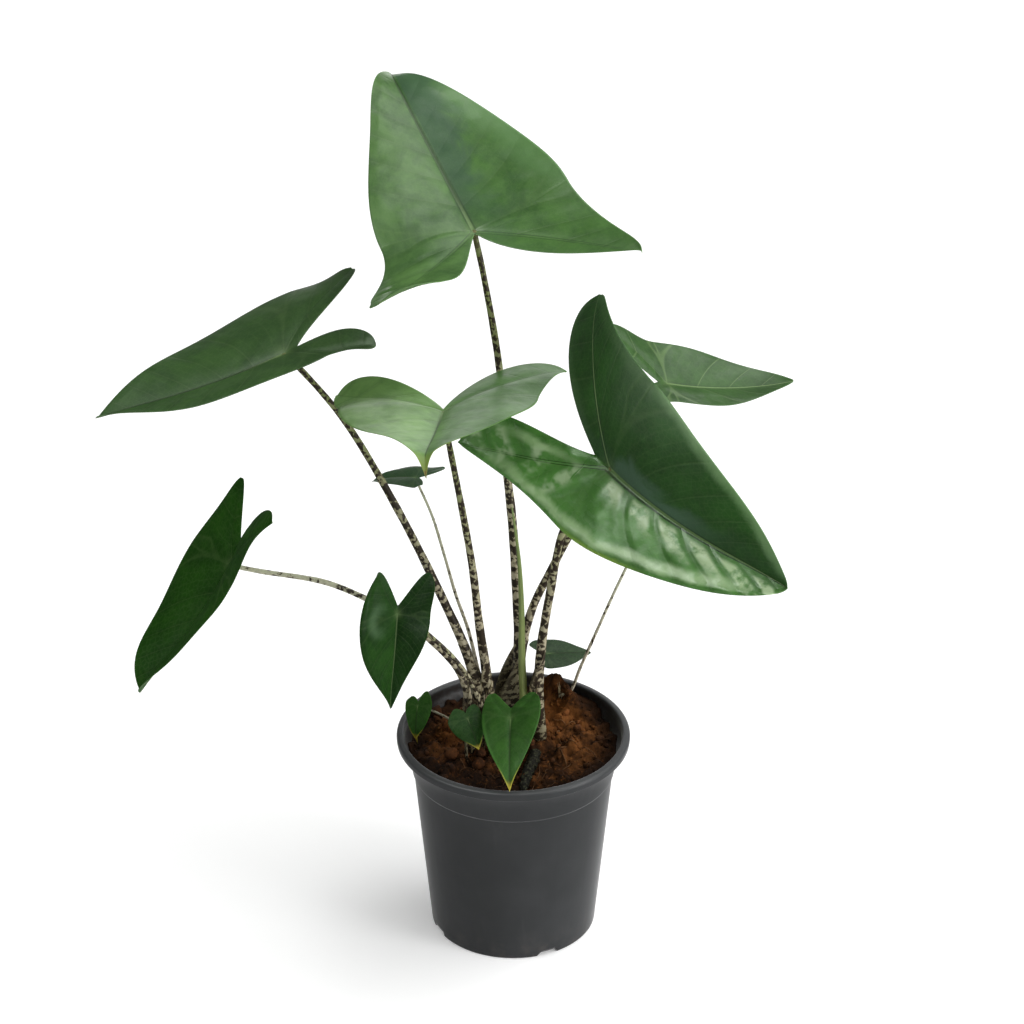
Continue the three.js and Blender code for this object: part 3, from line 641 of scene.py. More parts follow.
def zebra_material(name, pale, green, density, fading=0.0):
    """A banded skin. On a fading stem the bands thin out towards the leaf."""
    s = Shader(name)
    place = s.parts(s.field("stem"))
    share, edge, _ = s.parts(s.field("ends"))
    bands = s.noise(s.stretched(place, 0.7, 0.27), 1.0, 2, 0.5, 0.3)
    shift = s.noise(s.stretched(place, 0.45, 0.07), 1.0, 2) * 14.0
    wave = s.math("SINE", place[2] * (TURN / BAND_PITCH) + shift)
    streak_place = s.stretched(place, 1.6, 0.55)
    streaks = s.noise(streak_place, 1.0, 4, 0.7)
    value = bands + (streaks - 0.5) * 0.42 + wave * s.ramp(share, 0.12, 0.4, 0.05, 0.085)
    value = value + (s.noise(streak_place, 1.6, 3, 0.6) - 0.5) * s.ramp(share, 0.12, 0.4, 0.5, 0.0)
    value = value + s.ramp(share, 0.5, 0.72) * fading
    dark = s.ramp(value, density - 0.035, density + 0.035, 1, 0)
    change = (0.5, 0.7) if fading > 0.1 else (0.35, 0.95)
    s.colour = s.mix(s.ramp(share, *change), pale, green)
    s.paint(s.ramp(share, 0.08, 0.34, 0.6, 0), (0.14, 0.125, 0.06))
    s.paint(s.ramp(streaks, 0.4, 0.7) * 0.5, scaled(pale, 0.62))
    s.paint(s.ramp(value, density, density + 0.12, 1, 0) * 0.4, (0.16, 0.12, 0.05))
    blotch = s.mix(s.noise(streak_place, 0.7, 2), (0.012, 0.008, 0.004), (0.038, 0.024, 0.011))
    s.paint(dark * s.ramp(share, 0.93, 1.0, 1, 0.25), blotch)
    s.paint(edge * 0.6, (0.17, 0.145, 0.085))
    return s.finish(
        0.42 + streaks * 0.25, Normal=s.bump(dark * 0.3 + streaks * 0.6, 0.1 * MM, 0.8),
        Specular_IOR_Level=0.3, Coat_Weight=0.04, Coat_Roughness=0.35,
    )


def spear_material():
    s = Shader("spear_skin")
    share = s.parts(s.field("ends"))[0]
    lines = s.noise(s.stretched(s.parts(s.field("stem")), 4, 0.02), 1.6, 4, 0.65)
    s.colour = s.mix(s.ramp(share, 0.1, 0.9), (0.2, 0.235, 0.065), (0.13, 0.2, 0.045))
    s.paint(s.ramp(lines, 0.4, 0.7) * 0.6, (0.32, 0.36, 0.12))
    s.paint(s.ramp(share, 0.0, 0.22, 0.5, 0), (0.3, 0.3, 0.14))
    normal = s.bump(lines, 0.12 * MM, 0.8)
    return s.finish(0.34 + lines * 0.2, Normal=normal, Coat_Weight=0.15, Coat_Roughness=0.3)


def old_stem_material():
    s = Shader("old_stem_bark")
    place = s.stretched(s.parts(s.field("stem")), 1.3, 0.3)
    spots = s.noise(place, 1.5, 4, 0.65, 0.4)
    grain = s.noise(place, 7, 3, 0.6)
    s.colour = s.mix(s.ramp(spots, 0.5, 0.66), (0.006, 0.007, 0.005), (0.06, 0.065, 0.035))
    s.paint(grain * 0.4, (0.02, 0.014, 0.008))
    normal = s.bump(grain + spots, 0.3 * MM, 0.9)
    return s.finish(0.5 + grain * 0.35, Normal=normal, Specular_IOR_Level=0.12)


def soil_material(name, dark, red):
    """Peat, reddish at the back, with painted shade that darkens it towards the front and along the rim."""
    s = Shader(name)
    place = s.coordinate()
    x, y, _ = s.parts(place)
    radius = s.math("SQRT", x * x + y * y)
    large = s.noise(place, 45, 4, 0.6, 0.3)
    small = s.noise(place, 330, 4, 0.7)
    # Painted shade: darker towards the front, in patches of dark and reddish peat.
    s.colour = s.mix(s.ramp(y * 6 + large, 0.15, 0.75) * s.ramp(large, 0.3, 0.65), dark, red)
    s.paint(s.ramp(small, 0.55, 0.75, 0, 0.7), scaled(red, 1.5))
    s.paint(s.ramp(small, 0.3, 0.45, 0.75, 0), scaled(dark, 0.3))
    # Painted shade in a band along the rim, where the pot's wall shades the soil.
    s.paint(s.ramp(radius + large * 0.01, 0.062, 0.076, 0, 0.85), scaled(dark, 0.5))
    roughness = s.math("ADD", 0.75, small * 0.25, clamp=True)
    normal = s.bump(small + s.cells(place, 420, "F1") * 0.5, 0.6 * MM)
    return s.finish(roughness, Normal=normal, Specular_IOR_Level=0.1)


def pot_material():
    s = Shader("pot_plastic")
    place = s.coordinate()
    x, y, z = s.parts(place)
    streak = s.noise(s.stretched((x, y, z), 120, 9), 1.0, 4, 0.65)
    s.colour = s.mix(
        s.ramp(s.noise(place, 14, 4, 0.6), 0.35, 0.7), (0.03, 0.032, 0.0335), (0.039, 0.041, 0.043),
    )
    s.paint(s.ramp(streak, 0.6, 0.85, 0, 0.35), (0.07, 0.07, 0.071))
    dust = s.ramp(z, 0.0, 0.03, 1, 0) * s.ramp(s.noise(place, 90, 4, 0.7), 0.45, 0.7)
    s.paint(dust * 0.25, (0.12, 0.1, 0.085))
    # Painted shade, mottled and brownish, on the inside of the wall below the lip.
    normal_x, normal_y, _ = s.parts(s.coordinate("Normal"))
    inside = s.ramp(x * normal_x + y * normal_y, -0.06, -0.02, 1, 0) * s.ramp(z, 0.1572, 0.1592, 1, 0)
    s.paint(inside * s.ramp(s.noise(place, 220, 4, 0.7), 0.35, 0.6, 0.35, 0.9), (0.013, 0.008, 0.005))
    height = s.noise(place, 1500, 2, 0.5) * 0.6 + streak * 0.4
    return s.finish(
        0.48 + (streak - 0.5) * 0.2 + dust * 0.2, Normal=s.bump(height, 0.03 * MM, 0.6),
        Specular_IOR_Level=0.4, Sheen_Weight=0.6, Sheen_Roughness=0.3,
    )


# Pot

def wall_radius(z):
    return FOOT_RADIUS + WALL_TAPER * z


WALL_LINE = [
    (wall_radius(1.5), 1.5),
    (wall_radius(STEP_Z), STEP_Z),
    (wall_radius(STEP_Z) + STEP_OUT, STEP_Z + 1),
    (wall_radius(STEP_Z) + STEP_OUT + 1.2, STEP_Z + 9),
    (wall_radius(STEP_Z) + STEP_OUT + 3, STEP_Z + 16),
    (RIM_RADIUS - LIP_WIDTH, LIP_Z),
]


def inner_radius(z):
    radii, heights = zip(*WALL_LINE)
    return float(np.interp(z, heights, radii)) - WALL


def rounded(corners, steps=5):
    """A line of (r, z, rounding) corners, with each corner replaced by a short curve."""
    line = []
    for i, (r, z, size) in enumerate(corners):
        if size == 0 or i in (0, len(corners) - 1):
            line.append((r, z))
            continue
        here = np.array((r, z), float)
        ends = []
        for other in (corners[i - 1], corners[i + 1]):
            away = np.array(other[:2], float) - here
            length = np.linalg.norm(away)
            ends.append(here + away / length * min(size, 0.45 * length))
        for t in np.linspace(0, 1, steps + 1):
            point = ends[0] * (1 - t) ** 2 + 2 * here * t * (1 - t) + ends[1] * t**2
            line.append(tuple(point))
    return line


def pot_profile():
    """From the middle of the underside, out and up the wall, over the lip and down the inside."""
    ring_in = FOOT_RADIUS - FOOT_RING
    lip_in = RIM_RADIUS - LIP_WIDTH
    _, step, shoulder, upper, top, _ = WALL_LINE
    return rounded([
        (0, 0.4, 0), (2.2, 0.4, 0.3), (2.6, 0, 0.3), (BOSS_RADIUS, 0, 0.6), (BOSS_RADIUS + 1, FLOOR_LOW, 0.6),
        (ring_in, FLOOR_LOW, 0.6), (ring_in, 0, 0.5), (FOOT_RADIUS + 0.05, 0, 1.6),
        *[(wall_radius(z), z, 0) for z in range(6, STEP_Z - 4, 8)],
        (*step, 0.9), (*shoulder, 0.9), (*upper, 4), (*top, 4), (lip_in, LIP_Z, 2.0),
        (RIM_RADIUS - 0.4, LIP_Z + 0.2, 0.7), (RIM_RADIUS, LIP_Z + 4.2, 0.6),
        (RIM_RADIUS - 0.6, POT_HEIGHT - 0.4, 2.6), (lip_in - WALL + 0.4, POT_HEIGHT + 0.1, 1.8),
        (lip_in - WALL, LIP_Z, 2.0), (top[0] - WALL, top[1], 3), (upper[0] - WALL, upper[1], 3),
        (step[0] - WALL, STEP_Z, 0.8), (inner_radius(FLOOR_TOP), FLOOR_TOP, 0), (0, FLOOR_TOP, 0),
    ])


def notch_share(degrees):
    """1 inside a drain notch of the foot ring, 0 away from it."""
    half_notch = math.degrees(NOTCH_WIDTH / 2 / (FOOT_RADIUS - 1))
    starts = [NOTCH_START + 360 * k / NOTCH_COUNT for k in range(NOTCH_COUNT)]
    nearest = min(abs((degrees - start + 180) % 360 - 180) for start in starts)
    share = min(1, max(0, (half_notch - nearest) / 1.2 + 0.5))
    return share * share * (3 - 2 * share)


def make_pot(material):
    line = pot_profile()
    notched = [notch_share(360 * j / POT_SIDES) for j in range(POT_SIDES)]
    vertices = [(0, 0, line[0][1])]
    for r, z in line[1:-1]:
        in_ring = r > FOOT_RADIUS - FOOT_RING - 1.2 and z < FLOOR_LOW
        for angle, share in zip(around(POT_SIDES), notched):
            vertices.append((*polar(r, angle), z + (FLOOR_LOW - z) * share if in_ring else z))
    vertices.append((0, 0, line[-1][1]))
    add_piece("pot_shell", vertices, turned_faces(len(line) - 2, POT_SIDES), "pot", ["pot"], [material])


# Soil

def bumps(x, y, lumps):
    """The height of rounded lumps at a place."""
    return sum(
        height * math.exp(-((x - middle_x) ** 2 + (y - middle_y) ** 2) / radius**2)
        for middle_x, middle_y, height, radius in lumps
    )


def soil_height(x, y):
    ripples = sum(height * math.sin(x * kx + y * ky + phase) for kx, ky, phase, height in SOIL_RIPPLES)
    return SOIL_Z + ripples + bumps(x, y, SOIL_LUMPS)


SOIL_EDGE = inner_radius(SOIL_Z) - SOIL_GAP


def soil_surface(x, y):
    """The height of the soil with its mounds, clods and crumbs."""
    clod = rough((x, y, 0), 17, 3.1, 2)
    crumb = rough((x, y, 5), 5.5, 7.7, 3)
    grit = rough((x, y, 9), 1.9, 1.3, 2)
    pit = max(0.0, -rough((x, y, 3), 9, 5.2, 2)) ** 1.5
    z = soil_height(x, y) + bumps(x, y, MOUNDS)
    z += 4.4 * abs(clod) + 1.9 * crumb + 0.55 * grit - 3.4 * pit - 1.2
    r = math.hypot(x, y) / SOIL_EDGE
    if r > 0.9:
        edge = min(max(z, SOIL_EDGE_LOW - 1), SOIL_EDGE_HIGH + 1.5)
        z += (edge - z) * min(1, (r - 0.9) / 0.1)
    return z


def make_soil(material):
    vertices = [(0, 0, soil_surface(0, 0))]
    for i in range(1, SOIL_RINGS + 1):
        for angle in around(SOIL_SIDES):
            x, y = polar(SOIL_EDGE * i / SOIL_RINGS, angle)
            z = soil_surface(x, y)
            if i == SOIL_RINGS:
                x, y = polar(inner_radius(z) - SOIL_GAP, angle)
            vertices.append((x, y, z))
    below = [140, STEP_Z + 1, STEP_Z, 60, FLOOR_TOP + SOIL_GAP]
    for z in below:
        vertices += [(*polar(inner_radius(z) - SOIL_GAP, angle), z) for angle in around(SOIL_SIDES)]
    vertices.append((0, 0, below[-1]))
    faces = turned_faces(SOIL_RINGS + len(below), SOIL_SIDES, flip=True)
    add_piece("soil_bed", vertices, faces, "soil", ["soil"], [material])


def unit_ball():
    """A ball of 42 points, as arrays of points and triangles."""
    made = bmesh.new()
    bmesh.ops.create_icosphere(made, subdivisions=2, radius=1)
    points = np.array([v.co[:] for v in made.verts])
    triangles = np.array([[v.index for v in f.verts] for f in made.faces])
    made.free()
    return points, triangles


def make_crumbs(material, name, count, smallest, largest, seed):
    """Loose crumbs of soil, each half sunk where it lies. Every third lies by the foot of a stem."""
    rng = np.random.default_rng(seed)
    ball, triangles = unit_ball()
    heap = Heap()
    feet = [leaf["foot"] for leaf in LEAVES] + [SPEAR["foot"]]
    for k in range(count):
        r = (SOIL_EDGE - 3) * math.sqrt(rng.random())
        angle = rng.random() * TURN
        x, y = polar(r, angle)
        if k % 3 == 0:
            x, y = feet[k // 3 % len(feet)] + (3 + 5 * rng.random()) * np.array(polar(1, angle))
        size = smallest + (largest - smallest) * rng.random() ** 2.5
        stretch = size * (0.7 + 0.6 * rng.random(3))
        turn = np.linalg.qr(rng.normal(size=(3, 3)))[0]
        seedling = float(rng.random() * 50)
        lumps = np.array([1 + 0.45 * rough(p, 0.9, seedling, 2) for p in ball])
        middle = (x, y, soil_surface(x, y) + 0.25 * size)
        heap.add((ball * lumps[:, None] * stretch) @ turn.T + middle, triangles)
    add_piece(name, heap.vertices, heap.faces, "soil", [], [material])


def tube(points, radii, sides):
    """A closed tube: its vertices and faces, each vertex's row and turn, and each row's axes."""
    points = np.asarray(points, float)
    tangents = np.gradient(points, axis=0)
    tangents /= np.linalg.norm(tangents, axis=1)[:, None]
    side = np.cross(tangents[0], (0.0, 1.0, 0.0))
    if np.linalg.norm(side) < 0.2:
        side = np.cross(tangents[0], (1.0, 0.0, 0.0))
    vertices, faces, frames = [], [], []
    angles = around(sides)
    for centre, along, radius in zip(points, tangents, radii):
        side = side - along * (side @ along)
        side /= np.linalg.norm(side)
        other = np.cross(along, side)
        frames.append((side, other))
        ring = np.outer(np.cos(angles) * radius, side) + np.outer(np.sin(angles) * radius, other)
        vertices.extend(centre + ring)
    last = len(points) - 1
    for j in range(sides):
        k = (j + 1) % sides
        faces += [(a + j, a + k, a + sides + k, a + sides + j) for a in range(0, last * sides, sides)]
        faces.append((k, j, len(vertices)))
        faces.append((last * sides + j, last * sides + k, len(vertices) + 1))
    vertices += [points[0], points[-1]]
    rows = np.append(np.repeat(np.arange(last + 1), sides), (0, last))
    turns = np.append(np.tile(angles, last + 1), (0, 0))
    return np.array(vertices), faces, rows, turns, frames


def make_fibres(material, count, seed):
    rng = np.random.default_rng(seed)
    heap = Heap()
    steps = 9
    for _ in range(count):
        x, y = polar((SOIL_EDGE - 8) * math.sqrt(rng.random()), rng.random() * TURN)
        heading = rng.random() * TURN
        bend = rng.normal() * 0.12
        length = 6 + 14 * rng.random()
        path = []
        for i in range(steps):
            path.append((x, y, soil_surface(x, y) + 0.5 + 0.9 * math.sin(math.pi * i / (steps - 1))))
            x += math.cos(heading) * length / steps
            y += math.sin(heading) * length / steps
            heading += bend + rng.normal() * 0.1
            if math.hypot(x, y) > SOIL_EDGE - 1:
                break
        if len(path) < 4:
            continue
        radius = 0.16 + 0.16 * rng.random()
        radii = [radius * (0.5 + math.sin(math.pi * (i + 0.5) / len(path))) for i in range(len(path))]
        heap.add(*tube(path, radii, 5)[:2])
    add_piece("soil_fibres", heap.vertices, heap.faces, "soil", [], [material])


# Stems

def hermite(start, leaving, end, arriving, t):
    t = np.asarray(t)[:, None]
    t2, t3 = t * t, t * t * t
    places = (2 * t3 - 3 * t2 + 1) * start + (3 * t2 - 2 * t3) * end
    return places + (t3 - 2 * t2 + t) * leaving + (t3 - t2) * arriving


def curve_through(points, count):
    """Evenly spaced points on a centripetal Catmull-Rom curve, the curve that the solids follow."""
    p = [np.array(q, float) for q in points]
    p = [2 * p[0] - p[1], *p, 2 * p[-1] - p[-2]]
    fine = []
    for a, b, c, d in zip(p, p[1:], p[2:], p[3:]):
        ta, tb, tc = [np.linalg.norm(far - near) ** 0.5 for near, far in ((a, b), (b, c), (c, d))]
        leave = ((b - a) / ta - (c - a) / (ta + tb) + (c - b) / tb) * tb
        arrive = ((c - b) / tb - (d - b) / (tb + tc) + (d - c) / tc) * tb
        fine.extend(hermite(b, leave, c, arrive, np.arange(40) / 40))
    fine = np.array([*fine, p[-2]])
    run = np.concatenate([[0], np.cumsum(np.linalg.norm(np.diff(fine, axis=0), axis=1))])
    at = np.linspace(0, run[-1], count)
    return np.stack([np.interp(at, run, fine[:, k]) for k in range(3)], 1), run[-1]


def stem_points(foot, via):
    heights = (SOIL_Z - FOOT_DEPTH, SOIL_Z - FOOT_DEPTH / 2, soil_height(*foot) + STEM_STAND)
    return [*[(*foot, z) for z in heights], *via]


def leaf_axes(leaf):
    h, p, r = [rad(leaf[key]) for key in ("heading", "pitch", "roll")]
    along = np.array([math.cos(h) * math.cos(p), math.sin(h) * math.cos(p), math.sin(p)])
    level = np.array([math.sin(h), -math.cos(h), 0.0])
    up = np.cross(level, along)
    return level * math.cos(r) - up * math.sin(r), along, level * math.sin(r) + up * math.cos(r)


def stem_fields(rows, turns, count, length, edge=0.0, shift=0.0):
    share = rows / (count - 1)
    zero = np.zeros_like(share)
    stem = np.stack([np.cos(turns), np.sin(turns), share * length + shift], 1)
    return {"stem": stem, "ends": np.stack([share, zero + edge, zero], 1)}


def add_stem(name, points, radii, sides, length, slot, replaced, material, shift=0.0):
    """Adds a tube with the fields that its material needs, and gives each row's axes."""
    vertices, faces, rows, turns, frames = tube(points, radii, sides)
    fields = stem_fields(rows, turns, len(points), length, shift=shift)
    add_piece(name, vertices, faces, slot, [replaced], [material], fields=fields)
    return frames


def make_petiole(leaf, material, seed):
    name = leaf["name"]
    face = leaf_axes(leaf)[2]
    start_r, end_r = leaf["girth"]
    junction = np.array(leaf["at"], float)
    end = junction - face * (BLADE * 0.9)
    approach = junction - np.array(leaf["via"][-1], float)
    approach /= np.linalg.norm(approach)
    slant = math.sqrt(max(0, 1 - (approach @ face) ** 2))
    low = junction - face * (BLADE + BLADE_GAP + end_r * slant)
    points, length = curve_through([*stem_points(leaf["foot"], leaf["via"]), low], PETIOLE_ROWS)
    radii = start_r + (end_r - start_r) * np.linspace(0, 1, PETIOLE_ROWS) ** PETIOLE_TAPER
    points = np.vstack([points, low * 0.4 + end * 0.6, end])
    radii = np.append(radii, (end_r * 0.95, end_r * 0.6))
    angles = around(PETIOLE_SIDES)
    channel = 1 - 0.1 * np.exp(-(((angles - 1.2 + math.pi) % TURN - math.pi) / 0.35) ** 2)
    spread = []
    for i, radius in enumerate(radii):
        ridge = 1 + 0.035 * np.cos(3 * angles + 0.02 * i) + 0.02 * np.sin(7 * angles + 0.05 * i)
        knot = 1 + 0.025 * math.sin(0.21 * i + seed) + 0.02 * math.sin(0.53 * i + 2 * seed)
        spread.append(radius * ridge * channel * knot)
    frames = add_stem(
        f"petiole_{name}_skin", points, spread, PETIOLE_SIDES, length, "petiole", f"petiole_{name}", material,
        shift=40 * seed,
    )
    return points, radii, frames, length


def make_sheath(name, stem, shape, material, seed):
    """The thin sheath that wraps the foot of a petiole and ends in two wings."""
    points, radii, frames, length = stem
    height, widen, opening, low_wing, high_wing = shape
    base = soil_height(*points[0][:2]) - 4
    used = [i for i in range(len(points)) if base <= points[i][2] <= base + height]
    outer, inner, edge, rows, turns, far = [], [], [], [], [], []
    for n, i in enumerate(used):
        share = n / (len(used) - 1)
        side, other = frames[i]
        reach = rad(165) * (1 - share**2.2) ** 0.6 + rad(14)
        wide = radii[i] * (1 + (widen - 1) * (1 - share) ** 1.1) + 0.25
        spread = high_wing + (low_wing - high_wing) * min(1, (1 - share) / 0.55)
        for u in np.linspace(-1, 1, SHEATH_CELLS + 1):
            turn = rad(opening) + math.pi + u * reach
            direction = np.array([*polar(1, turn), 0.0])
            flat = side * (direction @ side) + other * (direction @ other)
            flat /= np.linalg.norm(flat)
            wing = abs(u) ** 4 * spread * min(1, 9 * (1 - share))
            wobble = 0.3 * math.sin(0.35 * n + 5 * u + seed) * abs(u) ** 3
            distance = wide + wing + wobble
            outer.append(points[i] + flat * distance)
            inner.append(points[i] + flat * (distance - SHEATH_THICKNESS * (1 - 0.6 * abs(u) ** 8)))
            edge.append(max(0, (abs(u) - 0.86) / 0.14) + max(0, share - 0.93) * 8)
            rows.append(i)
            turns.append(turn)
            far.append(1.5 * distance / wide - 0.5)
    width = SHEATH_CELLS + 1
    corners = [n * width + j for n in range(len(used) - 1) for j in range(SHEATH_CELLS)]
    faces = both_sides([(a, a + 1, a + width + 1, a + width) for a in corners], len(outer))
    rows, turns, edge, far = [np.tile(values, 2) for values in (rows, turns, edge, far)]
    fields = stem_fields(rows, turns, len(points), length, np.clip(edge, 0, 1), 40 * seed + 13)
    fields["stem"][:, :2] *= far[:, None]
    add_piece(f"sheath_{name}", outer + inner, faces, "petiole", [], [material], fields=fields)


def make_rags(material):
    """Dry strips of old sheath that stand round the feet of the stems."""
    rng = np.random.default_rng(23)
    sides, steps = 8, 12
    t = np.arange(steps) / (steps - 1)
    section = np.hypot(np.cos(around(sides)) * 0.25, np.sin(around(sides)))
    heap, rows, turns = Heap(), [], []
    for x, y, reach, lift, count in RAGS:
        for k in range(count):
            out = np.array(polar(1, rng.random() * TURN))
            start = np.array([x, y]) + out * reach * (0.5 + 0.5 * rng.random())
            length = 5 + 8 * rng.random()
            droop = 0.1 + 0.6 * rng.random() ** 2
            base = soil_surface(*start) - 2 + lift * rng.random() ** 0.8
            flat = start + np.outer(length * 0.6 * droop * t**1.6, out)
            path = np.column_stack([flat, base + length * (t - 0.45 * droop * t**2)])
            broad = 0.4 + 0.9 * rng.random()
            radii = [section * broad * max(0.1, 1 - share**3) for share in t]
            vertices, faces, row, turn, _ = tube(path, radii, sides)
            heap.add(vertices, faces)
            rows.extend(row + 7 * k)
            turns.extend(turn)
    fields = stem_fields(np.array(rows), np.array(turns), 100, 120.0, 0.5)
    add_piece("sheath_rags", heap.vertices, heap.faces, "petiole", [], [material], fields=fields)


def make_spear(material):
    points, length = curve_through(stem_points(SPEAR["foot"], SPEAR["via"]), SPEAR_ROWS)
    start_r, end_r = SPEAR["girth"]
    angles = around(SPEAR_SIDES)
    ribs = 1 + 0.012 * np.sin(9 * angles)
    radii = []
    for t in np.linspace(0, 1, SPEAR_ROWS):
        wound = (angles + 1.2 + 1.6 * t) % TURN / TURN
        roll = 1 + 0.13 * (wound - 0.5) * min(1, 3 * (1 - t))
        radii.append((start_r + (end_r - start_r) * t**SPEAR_TAPER) * roll * ribs)
    add_stem("spear_roll", points, radii, SPEAR_SIDES, length, "spear", "spear_leaf", material)


def make_old_stem(material):
    points, length = curve_through(OLD_STEM, OLD_STEM_ROWS)
    radii = []
    for t in np.linspace(0, 1, OLD_STEM_ROWS):
        step = (t * OLD_STEM_SCARS) % 1
        scar = 0.14 * math.exp(-((step - 0.9) / 0.1) ** 2) + 0.07 * step
        radius = OLD_STEM_RADIUS * (1 - 0.25 * t) * (0.95 + scar) * min(1, (6 * (1 - t) + 0.15)) ** 0.4
        lumps = [rough((*polar(4, angle), t * length), 3.5, 2.2, 3) for angle in around(OLD_STEM_SIDES)]
        radii.append(radius * (1.02 + 0.3 * np.array(lumps)))
    add_stem("old_stem_bark", points, radii, OLD_STEM_SIDES, length, "old_stem", "old_stem", material)


# Blades

def knob_at(t, knob):
    """How much a lobe widens towards its rounded end, with a slight neck behind it."""
    return knob * (t * np.exp(1 - t / 0.055) / 0.055 - 0.35 * hill(t - 0.25, 0.07))[:, None]


def half_lines(leaf, side, lobe_cells, blade_cells, sinus_cells, knob):
    phi = side["spread"]
    lobe_tip = np.array([side["lobe"] * math.sin(phi), -side["lobe"] * math.cos(phi)])
    shoulder = np.array([side["width"], leaf["shoulder"]], float)
    apex = np.array([0.0, leaf["length"]])
    sinus = leaf.get("sinus", 2)
    sinus_end = np.array([0.0, -sinus])
    outward = np.array([math.cos(phi), math.sin(phi)])
    forward = np.array([0.0, 1.0])
    into_sinus = np.array([-math.sin(side["notch"]), math.cos(side["notch"])])
    apex_angle = rad(leaf.get("apex_angle", 38))
    into_apex = np.array([-math.sin(apex_angle), math.cos(apex_angle)])
    lobe_span = np.linalg.norm(lobe_tip - shoulder)
    blade_span = np.linalg.norm(apex - shoulder)
    t = np.linspace(0, 1, lobe_cells + 1)[:-1]
    round_lobe = outward * lobe_span * side["outer"]
    margin_lobe = hermite(lobe_tip, round_lobe, shoulder, forward * lobe_span * BEHIND_SHOULDER, t)
    margin_lobe += outward * knob_at(t, knob)
    t = np.linspace(0, 1, lobe_cells - sinus_cells + 1)
    round_sinus = -outward * side["lobe"] * side["inner"]
    inner_lobe = hermite(lobe_tip, round_sinus, sinus_end, into_sinus * side["lobe"] * INTO_SINUS, t)
    inner_lobe -= outward * knob_at(t, knob)
    t = np.linspace(0, 1, sinus_cells + 1)[1:-1]
    inner_sinus = np.stack([np.zeros_like(t), -sinus * (1 - t)], 1)
    t = np.linspace(0, 1, blade_cells + 1)
    ahead = forward * blade_span * side["full"]
    margin_blade = hermite(shoulder, ahead, apex, into_apex * blade_span * leaf.get("apex_full", 0.8), t)
    inner_blade = np.stack([np.zeros_like(t), leaf["length"] * t], 1)
    return np.vstack([margin_lobe, margin_blade]), np.vstack([inner_lobe, inner_sinus, inner_blade]), lobe_tip


def rib_at(t, bend, tip):
    """How far a rib of length 1 has gone along and up at t, and its angle there."""
    k = (np.arange(RIB_PIECES) + 0.5) / RIB_PIECES

    def angle(s, bend, tip):
        return bend * s + tip * (np.maximum(0, s - RIB_CURL_START) / (1 - RIB_CURL_START)) ** 2

    angles = angle(t[..., None] * k, bend[..., None], tip[..., None])
    return np.cos(angles).mean(-1) * t, np.sin(angles).mean(-1) * t, angle(t, bend, tip)


def sheet_cells(leaf):
    """How many cells a half has: along the lobe, along the blade and across."""
    if leaf["length"] > LARGE_LEAF:
        return 60, 92, 40
    if leaf["length"] > TINY_LEAF:
        return 26, 40, 20
    return 18, 30, 14


def hill(distance, width):
    """1 at distance 0, and falling away smoothly to both sides."""
    return np.exp(-((distance / width) ** 2))


def noise_sheet(x, y, scale, seed, level):
    return np.array([[rough((a, b, level), scale, seed, 2) for a, b in zip(*rows)] for rows in zip(x, y)])


